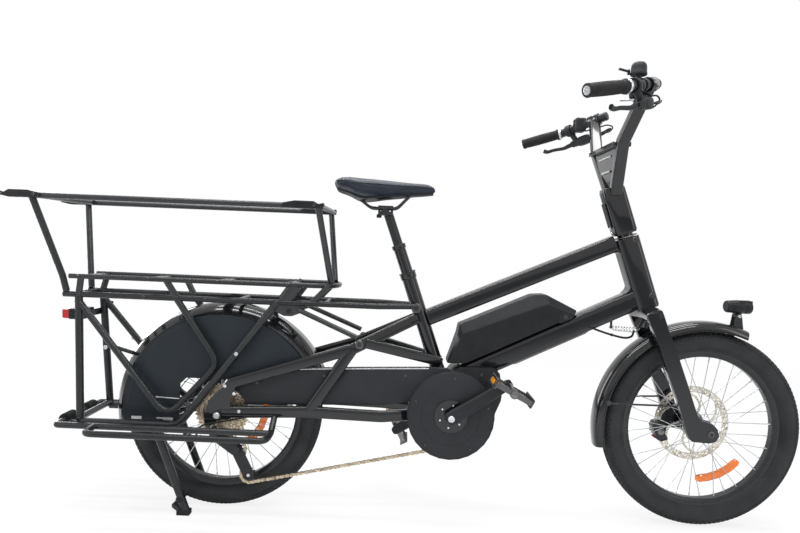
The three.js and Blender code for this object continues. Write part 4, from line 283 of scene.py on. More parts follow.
def finishes():
    return {
        "gloss": material("gloss_black_paint", (0.0085, 0.009, 0.0102), 0.16, 0.15, tint=0.2, tint_size=6,
                          grain=0.02, grain_size=260, coat=0.6, coat_rough=0.04, rough_spread=0.05),
        "satin": material("satin_black_coat", (0.0125, 0.0135, 0.0155), 0.32, 0.1, tint=0.22, grain=0.03,
                          grain_size=1500, wear=0.12, wear_color=(0.22, 0.23, 0.24), coat=0.25,
                          coat_rough=0.25),
        "matt": material("matt_grey_plastic", (0.021, 0.023, 0.026), 0.52, tint=0.16, tint_size=9, grain=0.05,
                         grain_size=1900, wear=0.1, wear_color=(0.1, 0.105, 0.11)),
        "shield": material("shield_plastic", (0.018, 0.0235, 0.029), 0.55, tint=0.12, tint_size=7, grain=0.04,
                           grain_size=1700),
        "plastic": material("black_plastic", (0.0125, 0.0135, 0.015), 0.4, tint=0.2, tint_size=30, cells=0.03,
                            cell_size=1400, wear=0.1, wear_color=(0.08, 0.08, 0.085)),
        "tyre": material("tyre_rubber", (0.024, 0.025, 0.026), 0.66, tint=0.24, tint_size=16, grain=0.06,
                         grain_size=1300, sheen=0.05),
        "rubber": material("soft_rubber", (0.018, 0.018, 0.019), 0.7, tint=0.25, grain=0.05, grain_size=1700),
        "skin": material("saddle_skin", (0.014, 0.02, 0.034), 0.42, tint=0.2, tint_size=22, cells=0.07,
                         cell_size=900, coat=0.2, coat_rough=0.3),
        "alloy": material("brushed_alloy", (0.62, 0.63, 0.64), 0.28, 1.0, tint=0.12, streak=(1, 1, 12),
                          tint_size=90, grain=0.01, grain_size=700),
        "steel": material("bright_steel", (0.55, 0.55, 0.54), 0.25, 1.0, tint=0.15, tint_size=120,
                          grain=0.01),
        "spoke": material("spoke_steel", (0.5, 0.51, 0.52), 0.3, 1.0, tint=0.2, tint_size=200),
        "cog": material("speckled_sprocket_steel", (0.55, 0.46, 0.34), 0.38, 0.9, tint=0.3, tint_size=150,
                        grain=0.05, grain_size=600, specks=((0.1, 0.08, 0.06), 420, 0.52)),
        "disc": material("brake_disc_steel", (0.62, 0.59, 0.52), 0.3, 1.0, tint=0.15, tint_size=300,
                         specks=((0.32, 0.28, 0.2), 240, 0.56)),
        "dark_steel": material("dark_hardware", (0.05, 0.05, 0.052), 0.3, 0.8, tint=0.3, tint_size=150,
                               wear=0.3),
        "red": material("red_lens", (0.55, 0.012, 0.012), 0.12, tint=0.15, cells=0.25, cell_size=350,
                        coat=0.8),
        "orange": material("orange_reflector", (0.95, 0.2, 0.01), 0.14, tint=0.12, tint_size=60, cells=0.5,
                           cell_size=330, coat=0.9),
        "amber": material("amber_reflector", (0.95, 0.36, 0.02), 0.14, tint=0.1, cells=0.4, cell_size=450,
                          coat=0.9),
        "glass": material("lamp_glass", (0.8, 0.83, 0.85), 0.08, tint=0.05, cells=0.3, cell_size=300,
                          coat=1.0),
        "pale": material("pale_clip", (0.72, 0.73, 0.74), 0.35, 0.3, tint=0.08, grain=0.02),
        "cable": material("cable_housing", (0.012, 0.012, 0.013), 0.38, tint=0.2, tint_size=80, grain=0.02,
                          grain_size=2200),
        # Pale trim colour for the bar-end plugs, also laid on strips that stand in for light: the painted
        # highlight along the guard flange and the painted highlight lines on the stem's slots
        "band": material("light_band", (0.5, 0.51, 0.51), 0.3, 0.4, tint=0.1, tint_size=30, grain=0.02),
    }


# Mesh pieces
def bend(points, radius, steps=8):
    """The route with its corners rounded, as the CAD rounds them."""
    out = [points[0].copy()]
    for a, b, c in zip(points, points[1:], points[2:]):
        back, on = a - b, c - b
        angle = back.angle(on)
        reach = min(radius * MM / math.tan(angle / 2), back.length * 0.48, on.length * 0.48)
        start, end = b + back.normalized() * reach, b + on.normalized() * reach
        for i in range(steps + 1):
            t = i / steps
            out.append((1 - t) ** 2 * start + 2 * t * (1 - t) * b + t * t * end)
    out.append(points[-1].copy())
    return out


def spline(points, steps=8):
    """A smooth curve through the points."""
    ends = [2 * points[0] - points[1], *points, 2 * points[-1] - points[-2]]
    out = []
    for a, b, c, d in zip(ends, ends[1:], ends[2:], ends[3:]):
        for i in range(steps):
            t = i / steps
            first = (c - a) * t
            second = (2 * a - 5 * b + 4 * c - d) * t * t
            third = (3 * b - a - 3 * c + d) * t ** 3
            out.append(0.5 * (2 * b + first + second + third))
    return [*out, points[-1].copy()]


def square_to(axis, hint=None):
    axis = axis.normalized()
    side = (hint or (UP if abs(axis.z) < 0.9 else FORE))
    side = (side - side.dot(axis) * axis).normalized()
    return side, axis.cross(side)


class Piece:
    """Faces gathered into one mesh. Sizes are in millimetres, points in metres."""

    def __init__(self):
        self.points, self.faces = [], []

    def skin(self, rows, around=True, caps=True, closed=False):
        base, n, count = len(self.points), len(rows[0]), len(rows)
        for row in rows:
            self.points.extend(row)
        for i in range(count if closed else count - 1):
            j = (i + 1) % count
            for k in range(n if around else n - 1):
                m = (k + 1) % n
                self.faces.append((base + i * n + k, base + i * n + m, base + j * n + m, base + j * n + k))
        if caps and around and not closed:
            self.faces.append(tuple(base + k for k in reversed(range(n))))
            self.faces.append(tuple(base + (count - 1) * n + k for k in range(n)))
        return self

    def tube(self, route, wide, tall=None, sides=24, across=None, closed=False, square=1.0, sizes=None):
        """wide is the size along across, tall square to it; square under 1 makes the section boxy."""
        rows, side = [], across
        count = len(route)
        for i, point in enumerate(route):
            if closed:
                way = route[(i + 1) % count] - route[i - 1]
            else:
                way = route[min(i + 1, count - 1)] - route[max(i - 1, 0)]
            u, v = square_to(way, across or side)
            if across is None:
                side = u
            share = sizes[i] if sizes else 1
            a, b = wide / 2 * MM * share, (tall or wide) / 2 * MM * share
            row = []
            for k in range(sides):
                angle = TURN * (k + 0.5) / sides
                c, s = math.cos(angle), math.sin(angle)
                c, s = math.copysign(abs(c) ** square, c), math.copysign(abs(s) ** square, s)
                row.append(point + u * (a * c) + v * (b * s))
            rows.append(row)
        return self.skin(rows, closed=closed)

    def rod(self, a, b, radius, end=None, sides=24):
        u, v = square_to(b - a)
        ring = lambda p, r: [p + (u * math.cos(TURN * k / sides) + v * math.sin(TURN * k / sides)) * r * MM
                             for k in range(sides)]
        return self.skin([ring(a, radius), ring(b, radius if end is None else end)])

    def lathe(self, centre, axis, profile, sides=48, closed=False, start=0.0, sweep=TURN, hint=None):
        """profile: pairs of radius and height along the axis."""
        axis = axis.normalized()
        u, v = square_to(axis, hint)
        whole = sweep >= TURN - 1e-6
        rows = []
        for i in range(sides if whole else sides + 1):
            angle = start + sweep * i / sides
            way = u * math.cos(angle) + v * math.sin(angle)
            rows.append([centre + way * r * MM + axis * h * MM for r, h in profile])
        return self.skin(rows, around=closed, caps=closed and not whole, closed=whole)

    def plate(self, outline, y0, y1):
        """An outline of x, z pairs with its thickness along Y."""
        return self.skin([[P(x, y0, z) for x, z in outline], [P(x, y1, z) for x, z in outline]])

    def block(self, centre, size, x_axis=FORE, z_axis=UP):
        x_axis = x_axis.normalized()
        y_axis = z_axis.cross(x_axis).normalized()
        z_axis = x_axis.cross(y_axis)
        a, b, c = (s / 2 * MM for s in size)
        rows = [[centre + x_axis * a * i + y_axis * b * j + z_axis * c * k
                 for i, j in ((-1, -1), (1, -1), (1, 1), (-1, 1))] for k in (-1, 1)]
        return self.skin(rows)

    def bolt(self, place, axis, radius, high, sides=20):
        """A round screw head with a hexagon socket."""
        axis = axis.normalized()
        u, v = square_to(axis)
        rows = []
        for share, rise, hexed in ((1, 0, 0), (1, 0.7, 0), (0.88, 1, 0), (0.52, 1, 0), (0.5, 1, 1),
                                   (0.48, 0.35, 1)):
            row = []
            for k in range(sides):
                angle = TURN * k / sides
                r = radius * share
                if hexed:
                    r *= math.cos(math.pi / 6) / math.cos((angle + math.pi / 6) % (math.pi / 3) - math.pi / 6)
                way = u * math.cos(angle) + v * math.sin(angle)
                row.append(place + way * r * MM + axis * rise * high * MM)
            rows.append(row)
        return self.skin(rows)

    def done(self, name, body, look, *nodes, bevel=0.0, angle=38, segments=2, slot=None):
        mesh = bpy.data.meshes.new(name)
        mesh.from_pydata([tuple(p) for p in self.points], [], self.faces)
        work = bmesh.new()
        work.from_mesh(mesh)
        bmesh.ops.recalc_face_normals(work, faces=work.faces)
        work.to_mesh(mesh)
        work.free()
        mesh.shade_smooth()
        mesh.set_sharp_from_angle(angle=math.radians(angle))
        obj = bpy.data.objects.new(name, mesh)
        bpy.context.collection.objects.link(obj)
        mesh.materials.append(look)
        if bevel:
            soften(obj, bevel, segments, angle)
        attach(obj, body)
        if nodes:
            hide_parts(*nodes)
        return obj


def soften(obj, width, segments=2, angle=38):
    rounded = obj.modifiers.new("soft_edges", "BEVEL")
    rounded.width = width * MM
    rounded.segments = segments
    rounded.limit_method = "ANGLE"
    rounded.angle_limit = math.radians(angle)
    rounded.harden_normals = True
    return rounded


def dress_node(name, look, bevel=0.8, angle=34):
    """A CAD node kept as it is, with soft edges and a finish."""
    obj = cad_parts[name]
    mesh = obj.data
    mesh.materials.clear()
    mesh.materials.append(look)
    weld = obj.modifiers.new("weld", "WELD")
    weld.merge_threshold = 1e-5
    mesh.shade_smooth()
    if bevel:
        soften(obj, bevel, 2, angle)


# Main frame
def along(a, b, share):
    return a + (b - a) * share


def polar(x, z, radius, angle, y):
    """A point of a circle in the side view."""
    return P(x + radius * math.cos(angle), y, z + radius * math.sin(angle))


def arc_pairs(x, z, radius, start, sweep, steps):
    """Pairs of x and z along part of a circle in the side view."""
    turns = [start + sweep * i / steps for i in range(steps + 1)]
    return [(x + radius * math.cos(turn), z + radius * math.sin(turn)) for turn in turns]


def collar(inner, outer, half, edge=0.6, slope=1):
    """The closed profile of a clamp ring with chamfered rims."""
    rim = [(outer - edge, half), (outer, half - slope)]
    return [(inner, -half), *((r, -h) for r, h in rim), *reversed(rim), (inner, half)]


def column(up, fore=0, left=0):
    """A point by the steering column: up along it from the crown, and ahead of it."""
    s, c = math.sin(LEAN), math.cos(LEAN)
    return P(CROWN_X - up * s + fore * c, left, CROWN_Z + up * c + fore * s)


TOP_TUBE = (P(520, 0, 520), P(1040, 0, 751))
DOWN_TUBE = (P(630, 0, 376), P(1096, 0, 605))


def by_battery(u, v, y=0):
    """A point beside the battery: u up the down tube, v off the battery's underside."""
    way = (DOWN_TUBE[1] - DOWN_TUBE[0]).normalized()
    off = Vector((-way.z, 0, way.x))
    return along(*DOWN_TUBE, 0.02) + (way * u + off * (v + 31) + ACROSS * y) * MM


def dress_main_frame():
    top = [along(*TOP_TUBE, 0.032), along(*TOP_TUBE, 0.95)]
    Piece().tube(top, 42, 44, 48, ACROSS, square=0.46).done("top_tube_skin", "frame", LOOKS["gloss"],
                                                            "top_tube")
    down = [DOWN_TUBE[0], along(*DOWN_TUBE, 0.955)]
    drop = Vector((0, 0, -9 * MM))
    guard = [along(*DOWN_TUBE, s) + (drop if i % 3 else Vector())
             for i, s in enumerate((0.22, 0.28, 0.66, 0.72))]
    piece = Piece().tube(down, 48, 54, 48, ACROSS, square=0.42).tube(guard, 34, 46, 40, ACROSS, square=0.5)
    dock = [by_battery(49, -27), by_battery(290, -27), by_battery(290, -0.6), by_battery(49, -0.6)]
    piece.skin([[p + Vector((0, y * MM, 0)) for p in dock] for y in (-16, 16)])
    piece.done("down_tube_skin", "frame", LOOKS["gloss"], bevel=0)
    # Two screws in the head tube's bosses, and weld beads at the joints
    bolts = Piece()
    for spot in (column(184, 11, -28), P(1110, -28, 608)):
        bolts.bolt(spot, -ACROSS, 6, 2.2)
    bolts.done("head_bolts", "frame", LOOKS["dark_steel"])
    beads = Piece()
    for start, end, wide, tall, reach in ((*TOP_TUBE, 42, 44, 0.027), (*DOWN_TUBE[::-1], 48, 54, 0.075)):
        spot, way = along(start, end, reach), (end - start).normalized()
        beads.tube([spot - way * 0.004, spot, spot + way * 0.004], wide, tall, 48, ACROSS, square=0.46,
                   sizes=(0.985, 1.012, 0.985))
    beads.done("weld_beads", "frame", LOOKS["gloss"])


# Rack
def side_y(z):
    """Half the rack's width at a height: its uprights lean out as they go down."""
    return RAIL_Y + (RAIL_Z - z) * 0.05


def on_side(side, x, z):
    return P(x, side * side_y(z), z)


def dress_rack_frame():
    """Lower rails, uprights, cross ties, tail bar and lamp plate."""
    welded = Piece()
    for side in SIDES.values():
        rail = [P(-408, side * RAIL_Y, RAIL_Z), P(400, side * RAIL_Y, RAIL_Z), P(494, side * 24.5, RAIL_Z)]
        welded.tube(bend(rail, 42, 10), 15, sides=28)
        welded.rod(on_side(side, -369, RAIL_Z), on_side(side, -350, 230), 9.5, sides=28)
        middle = along(P(BUMPER_X, 0, STEP_Z), P(-350, 0, STEP_Z), 0.5)
        welded.block(middle + ACROSS * side * side_y(239.5) * MM, (44, 6, 6))
    for x in (-384, 40, 262):
        welded.rod(P(x, -RAIL_Y, RAIL_Z), P(x, RAIL_Y, RAIL_Z), 6, sides=20)
    welded.rod(P(-350, -side_y(239.5), 239.5), P(-350, side_y(239.5), 239.5), 8.5)
    welded.rod(P(BUMPER_X, -88, STEP_Z), P(BUMPER_X, 88, STEP_Z), 8.5)
    welded.block(P(-374.5, 0, TAIL_Z), (3, 126, 17))
    welded.done("rack_frame_tubes", "frame", LOOKS["satin"], "rack_frame", bevel=0.5)


def dress_braces():
    """On each side the front brace, the link tube to the stays and the rear brace."""
    satin = LOOKS["satin"]
    for word, side in SIDES.items():
        front = [on_side(side, -350, 230), on_side(side, -98, 230), on_side(side, 141, RAIL_Z)]
        piece = Piece().tube(bend(front, 42, 12), 19, sides=28)
        piece.done("front_brace_tube_" + word, "frame", satin)
        link = Piece().rod(P(198, side * 65, 537), P(350, side * 74, 474), 6.5, sides=28)
        foot = [(132, 550), (214, 550), (212, 534), (200, 528), (180, 520), (160, 520), (134, 532)]
        link.plate(foot, side * 57, side * 63)
        link.bolt(P(172, side * 63, 533), ACROSS * side, 6.5, 3)
        link.done("rack_link_tube_" + word, "frame", satin)
        rear = [on_side(side, -372, 541), on_side(side, -HOOP_Y, 248)]
        rear += [on_side(side, -2, 392), on_side(side, -118, RAIL_Z)]
        piece = Piece().tube(bend(rear, 42, 12), 17, sides=28)
        a = along(on_side(side, -HOOP_Y, 248), on_side(side, -2, 392), 0.3)
        b = along(on_side(side, -98, 230), on_side(side, 141, RAIL_Z), 0.14)
        piece.rod(a, b, 5.7, sides=20)
        piece.done("rear_brace_tube_" + word, "frame", satin, "rack_rear_brace_" + word)


def dress_deck():
    """A loop open at the rear, its struts and its slats with pressed ribs."""
    loop = [P(-390, -DECK_Y, DECK_Z), P(292, -DECK_Y, DECK_Z), P(292, DECK_Y, DECK_Z),
            P(-390, DECK_Y, DECK_Z)]
    deck = Piece().tube(bend(loop, 60, 16), 13, sides=28)
    for side in SIDES.values():
        for top_x, low_x, fore in ((-360.5, -369, 17), (-143.5, -118, 17), (188.6, 158, 34), (272, 232, 15)):
            deck.tube([P(low_x, side * RAIL_Y, 558), P(top_x, side * DECK_Y, DECK_Z)], 12, fore, 20, ACROSS)
    deck.done("deck_tubes", "frame", LOOKS["satin"], "rack_deck")
    slats = Piece()
    for i in range(4):
        x = -366 + 178 * i
        slats.block(P(x, 0, DECK_Z), (34, 134, 3))
        for offset in (-9, 0, 9):
            slats.tube([P(x + offset, -48, 602.2), P(x + offset, 48, 602.2)], 4, 1.4, 12, FORE)
    slats.done("deck_slats", "frame", LOOKS["gloss"], bevel=0.6)


def dress_high_rail():
    """Two long tubes, sloping posts, end bars and corner fittings."""
    rail = Piece()
    for side in SIDES.values():
        rail.rod(P(-452, side * HOOP_Y, HOOP_Z), P(262, side * HOOP_Y, HOOP_Z), 7, sides=28)
        rear = [P(-452, side * HOOP_Y, HOOP_Z), P(-408, side * 68, 603), P(-401, side * RAIL_Y, 561.5)]
        rail.tube(bend(rear, 16, 8), 16, sides=28)
        rail.rod(P(248, side * HOOP_Y, HOOP_Z), P(276, side * 44, 607.5), 8, sides=28)
    for x in (-438, 255):
        rail.rod(P(x, -HOOP_Y, HOOP_Z), P(x, HOOP_Y, HOOP_Z), 7, sides=28)
    rail.done("high_rail_tubes", "frame", LOOKS["satin"], "top_rail")
    fittings = Piece()
    outline = ((0, -0.1), (0, 0.45), (0.12, 0.25), (0.24, 0.6), (0.7, 0.6), (1, 0.3), (1, -0.3),
               (0.25, -0.35))
    for side in SIDES.values():
        for x0, way in ((-526, 1), (262, -1)):
            fittings.plate([(x0 + way * 100 * a, HOOP_Z + 20 * b) for a, b in outline], side * 116,
                           side * 140)
    fittings.done("rail_fittings", "frame", LOOKS["plastic"], bevel=2.2, segments=3)


def dress_footrests():
    """On each side an inner and an outer bent tube."""
    for word, side in SIDES.items():
        p = lambda x, y, up=0: P(x, side * y, STEP_Z + up)
        inner = [p(BUMPER_X, 88.3), p(BUMPER_X, 108), p(146, 108)]
        outer = [p(-296, 108), p(-296, 165), p(146, 165), p(146, 108), p(146, 71, 29)]
        piece = Piece().tube(bend(inner, 16, 10), 16, sides=28).tube(bend(outer, 24, 10), 16, sides=28)
        piece.done("footrest_tubes_" + word, "frame", LOOKS["satin"], "footrest_" + word)


def dress_rack_screws():
    """Screws along the rails, the deck and the braces."""
    screws = Piece()
    for side in SIDES.values():
        out = ACROSS * side
        for x in (-366, -200, -42, 140):
            screws.bolt(P(x, side * 66.5, RAIL_Z), out, 4.2, 3)
        for x in (-366, -188, -10, 168):
            screws.bolt(P(x, side * 72.8, DECK_Z), out, 4, 2.6)
            screws.bolt(P(x, side * 52, 602.4), UP, 3.6, 1.6)
        for x, z in ((-350, 521), (-350, 239)):
            screws.bolt(P(x, side * (side_y(z) + 9), z), out, 4.4, 3)
        for y in (50, 32) if side > 0 else ():
            screws.bolt(P(-374, y, TAIL_Z), -FORE, 3.2, 2.6)
        screws.bolt(P(-520, side * 139.5, HOOP_Z), out, 4, 2.4)
        screws.bolt(P(-440, side * 139.5, 801), out, 4, 2.4)
        screws.bolt(P(240, side * 139.5, 801), out, 4, 2.4)
        screws.bolt(P(146, side * 79, 252), out, 6, 4)
    screws.done("rack_screws", "frame", LOOKS["dark_steel"])
    bright = Piece()
    for side in SIDES.values():
        out = ACROSS * side
        bright.bolt(P(-289, side * 74.5, 423), out, 5.4, 3)
        bright.bolt(P(45, side * 76, 420), out, 5.4, 3)
    bright.done("bright_screws", "frame", LOOKS["alloy"])


# Wheels
def rounded(points, steps=5):
    """A smooth profile through pairs of radius and width."""
    route = spline([Vector((r, y, 0)) for r, y in points], steps)
    return [(p.x, p.y) for p in route]


def dress_tyre(word, centre, body):
    """A round casing with fine ribs beside the bead, and rows of small blocks round the tread."""
    half = [(205, 13.5), (208, 18), (214, 23.5), (222, 27.4), (231, 28.7), (240, 27.4), (248, 23.6),
            (254, 17.5), (256.8, 9)]
    ribs = rounded(half)
    profile = ribs + [(257.6, 0)] + [(r, -y) for r, y in reversed(ribs)]
    casing = Piece().lathe(centre, ACROSS, [*profile, (207, -8), (207, 8)], 160, closed=True)
    for r, y in ((211.5, 21.9), (217, 25.6), (243.5, 26.4)):
        for side in (1, -1):
            casing.lathe(centre, ACROSS, [(r - 0.9, side * (y - 0.4)), (r, side * (y + 0.5)),
                                          (r + 0.9, side * (y - 0.6))], 160)
    count = 132
    blocks = ((256.4, 0, 0, 8.2, 5.6), (255.8, 7.4, 10, 7.6, 5.2), (253.8, 14.2, 24, 8.2, 5.0),
              (249.6, 20.2, 40, 7.4, 4.8), (244.6, 24.4, 56, 8.4, 4.2))
    for row, (r, y, tilt, long, wide) in enumerate(blocks):
        for side in ((1,) if y == 0 else (1, -1)):
            lean = math.radians(tilt) * side
            for i in range(count):
                angle = TURN * (i + 0.5 * (row % 2)) / count
                out = Vector((math.cos(angle), 0, math.sin(angle)))
                tangent = Vector((-math.sin(angle), 0, math.cos(angle)))
                up = out * math.cos(lean) + ACROSS * math.sin(lean)
                spot = centre + out * r * MM + ACROSS * side * y * MM
                cross = tangent.cross(up)
                rows = []
                for share, rise in ((1, 0), (0.86, 3.2)):
                    ahead = tangent * (long / 2 * share * MM)
                    aside = cross * (wide / 2 * share * MM)
                    rows.append([spot + ahead * a + aside * b + up * rise * MM
                                 for a, b in ((-1, -1), (1, -1), (1, 1), (-1, 1))])
                casing.skin(rows)
    casing.done(word + "_tyre_treaded", body, LOOKS["tyre"], word + "_tyre", angle=30)


def dress_wheel(word, x, body):
    """The tyre, then the rim, the crossing spokes with their nipples, the hub and the valve."""
    centre = P(x, 0, AXLE_Z)
    dress_tyre(word, centre, body)
    rim = Piece().lathe(centre, ACROSS, [(190, -8), (190, 8), (193.5, 11.5), (199, 13.6), (206.5, 14.6),
                                         (206.5, 12.6), (199.5, 11), (199.5, -11), (206.5, -12.6),
                                         (206.5, -14.6), (199, -13.6), (193.5, -11.5)], 128, closed=True)
    rim.done(word + "_rim", body, LOOKS["satin"], word + "_wheel", angle=25)
    spokes, nipples = Piece(), Piece()
    place = lambda r, a, y: centre + Vector((r * math.cos(a), y, r * math.sin(a))) * MM
    for i in range(36):
        side = 1 if i % 2 else -1
        lead = (1 if i % 4 < 2 else -1) * TURN / 36 * 6.2
        end = TURN * (i + 0.5) / 36
        a = place(24, end + lead, side * 27 + (2.0 if i % 4 < 2 else -2.0))
        b = place(191, end, side * 3.5)
        spokes.rod(a, b, 1.0, sides=6)
        nipples.rod(along(a, b, 0.925), b, 1.7, 2.1, sides=8)
    spokes.done(word + "_spokes", body, LOOKS["spoke"])
    nipples.done(word + "_nipples", body, LOOKS["alloy"])
    flange = lambda y: [(13, y - 2.4), (24, y - 1.6), (27, y - 1), (27, y + 1), (24, y + 1.6), (13, y + 2.4)]
    reach = 54 if word == "front" else 29.4
    left = 54 if word == "front" else 57
    hub = Piece().lathe(centre, ACROSS, [(0, -61), (6, -61), (6, -reach), (12, -reach), *flange(-27),
                                         (12.6, -20), (11.6, 0), (12.6, 20), *flange(27), (12, left),
                                         (6, left), (6, 61), (0, 61)], 40)
    hub.done(word + "_hub", body, LOOKS["dark_steel"], angle=30)
    valve = Piece().rod(place(190, 2.2, 0), place(166, 2.2, 0), 2.6, 2.2, sides=12)
    valve.rod(place(168, 2.2, 0), place(158, 2.2, 0), 3.4, 2.8, sides=12)
    valve.done(word + "_valve", body, LOOKS["rubber"])


def reflector(name, x, radius, angle, body):
    """A curved spoke reflector, square to its radius."""
    centre = P(x, 0, AXLE_Z)
    rows = []
    half = [(-1, -3), (-0.8, -4.6), (0, -5), (0.8, -4.6), (1, -3)]
    section = half + [(dr, -dy) for dr, dy in reversed(half)]
    for share in (-1, -0.86, -0.5, 0, 0.5, 0.86, 1):
        a = angle + share * 62 / radius
        out = Vector((math.cos(a), 0, math.sin(a)))
        high = 9.5 if abs(share) < 0.9 else 6
        spot = centre + out * radius * MM
        rows.append([spot + out * dr * high * MM + ACROSS * dy * MM for dr, dy in section])
    Piece().skin(rows).done(name, body, LOOKS["orange"], angle=25)


def dress_disc():
    """The brake disc: a ring with slots, swept arms, and a black carrier with its bolts."""
    centre = P(FRONT_X, 0, AXLE_Z)
    ring = Piece()
    steps, bands = 216, (84, 87, 90.5, 94, 97.5, 101.5)
    spot = lambda r, k, y: centre + Vector((r * math.cos(TURN * k / steps), y,
                                            r * math.sin(TURN * k / steps))) * MM
    for k in range(steps):
        for j, (a, b) in enumerate(zip(bands, bands[1:])):
            wave = k % 9
            if (j == 1 and wave in (1, 2)) or (j == 2 and wave in (4, 5)) or (j == 3 and wave in (7, 8)):
                continue
            ring.skin([[spot(a, k, y), spot(b, k, y), spot(b, k + 1, y), spot(a, k + 1, y)]
                       for y in (39.1, 40.9)])
    for i in range(6):
        start = TURN * i / 6
        route = []
        for j in range(9):
            t = j / 8
            r, a = 30 + 56 * t, start + 0.75 * t * t
            route.append(centre + Vector((r * math.cos(a), 40, r * math.sin(a))) * MM)
        ring.tube(route, 1.8, 7, 8, ACROSS)
    ring.done("front_disc_ring", "front_roller", LOOKS["disc"], "front_rotor", angle=30)
    carrier = Piece().lathe(centre, ACROSS, [(13, 29), (24, 29), (24, 36), (33, 38.6), (33, 41.4),
                                             (20, 41.8), (13, 41.4)], 48, closed=True)
    for i in range(6):
        a = TURN * i / 6 + 0.3
        carrier.bolt(centre + Vector((24 * math.cos(a), 41.4, 24 * math.sin(a))) * MM, ACROSS, 3.4, 2.4, 14)
    carrier.done("front_disc_carrier", "front_roller", LOOKS["dark_steel"])


# Drive
def belt(wheels, gap):
    """The chain's middle line round wheels of x, z, radius and way, a point every gap millimetres."""
    count, touch, route = len(wheels), [], []
    for i, a in enumerate(wheels):
        b = wheels[(i + 1) % count]
        dx, dz = b[0] - a[0], b[1] - a[1]
        line = math.atan2(dz, dx) + math.asin((a[2] * a[3] - b[2] * b[3]) / math.hypot(dx, dz))
        touch.append((line - a[3] * math.pi / 2, line - b[3] * math.pi / 2))
    for i, (x, z, r, way) in enumerate(wheels):
        arrive = touch[i - 1][1]
        sweep = (touch[i][0] - arrive) % TURN
        if way < 0:
            sweep -= TURN
        for k in range(25):
            a = arrive + sweep * k / 24
            route.append(Vector((x + r * math.cos(a), z + r * math.sin(a))))
    route.append(route[0])
    total = sum((b - a).length for a, b in zip(route, route[1:]))
    count = round(total / gap / 2) * 2
    step, out, walked, k = total / count, [], 0.0, 0
    for i in range(count):
        while walked + (route[k + 1] - route[k]).length < i * step:
            walked += (route[k + 1] - route[k]).length
            k += 1
        part = route[k + 1] - route[k]
        out.append(route[k] + part * ((i * step - walked) / max(part.length, 1e-9)))
    return out


def link_plate(piece, a, b, radius, y, thick):
    """A chain plate with round ends and a drawn-in waist."""
    way = (b - a).normalized()
    square = Vector((-way.y, way.x))
    outline = []
    for end, out in ((b, 1), (a, -1)):
        for k in range(7):
            angle = math.pi * (k / 6 - 0.5)
            outline.append(end + (way * math.cos(angle) + square * math.sin(angle)) * out * radius)
        outline.append((a + b) / 2 + square * out * radius * 0.72)
    piece.plate([(p.x, p.y) for p in outline], y - thick / 2, y + thick / 2)


def toothed(radius, depth, count, phase=0.0):
    outline = []
    for i in range(count):
        for share, r in ((-0.34, -depth), (-0.12, 0), (0.12, 0), (0.34, -depth)):
            a = TURN * (i + share) / count + phase
            outline.append(((radius + r) * math.cos(a), (radius + r) * math.sin(a)))
    return outline


def dress_chain():
    """Link plates, pins and rollers along the belt line."""
    run = 5.1
    points = belt([(CRANK_X, CRANK_Z, RING_RADIUS + run, 1), (0, AXLE_Z, 43.2 + run, 1),
                   (*PULLEYS["upper"], 17 + run, -1), (*PULLEYS["lower"], 17 + run, 1)], CHAIN_PITCH)
    chain = Piece()
    for i, (a, b) in enumerate(zip(points, points[1:] + points[:1])):
        offset = 2.6 if i % 2 else 1.7
        for way in (-1, 1):
            link_plate(chain, a, b, 4.1, -47 + way * offset, 0.8)
        chain.rod(P(a.x, -50.3, a.y), P(a.x, -43.7, a.y), 1.8, sides=10)
        chain.rod(P(a.x, -48.4, a.y), P(a.x, -45.6, a.y), 3.6, sides=12)
    chain.done("roller_chain", "frame", LOOKS["cog"], "chain", angle=30)


def dress_sprockets():
    """Nine toothed plates and the hub that carries them."""
    cogs = Piece()
    for i in range(9):
        y, radius = -31 - 2.5 * i, 72 - 4.5 * i
        outline = toothed(radius, 4.2, round(TURN * radius / CHAIN_PITCH), i * 0.1)
        cogs.plate([(x, z + AXLE_Z) for x, z in outline], y - 0.9, y + 0.9)
    cogs.lathe(P(0, 0, AXLE_Z), -ACROSS, [(6.6, 30), (19, 30), (19, 53), (24, 53.4), (24, 54.6), (17, 55.4),
                                          (6.6, 55.4)], 40, closed=True)
    cogs.done("sprockets_toothed", "sprockets", LOOKS["cog"], "cassette", angle=28)


def dress_changer():
    """The two toothed pulleys, and the bolts of the cage and of the changer's body."""
    for word, (x, z) in PULLEYS.items():
        wheel = Piece().plate([(a + x, b + z) for a, b in toothed(18.6, 4.4, 11)], -48, -46)
        wheel.lathe(P(x, 0, z), -ACROSS, [(4.6, 43.8), (8, 43.8), (9, 45.6), (9, 48.4), (8, 50.2),
                                          (4.6, 50.2)], 32, closed=True)
        wheel.done("pulley_toothed_" + word, "jockey_" + word, LOOKS["plastic"], "pulley_" + word)
    hardware = Piece()
    hardware.bolt(P(46, -58.6, 166), -ACROSS, 5, 3)
    hardware.bolt(P(80, -54.4, 100), -ACROSS, 4.6, 3)
    hardware.done("cage_bolts", "cage", LOOKS["alloy"])
    body = Piece()
    body.bolt(P(-9, -74, 230), -ACROSS, 6.5, 4)
    body.bolt(P(-30, -69, 212), -ACROSS, 5, 3.4)
    body.done("changer_bolts", "frame", LOOKS["alloy"])


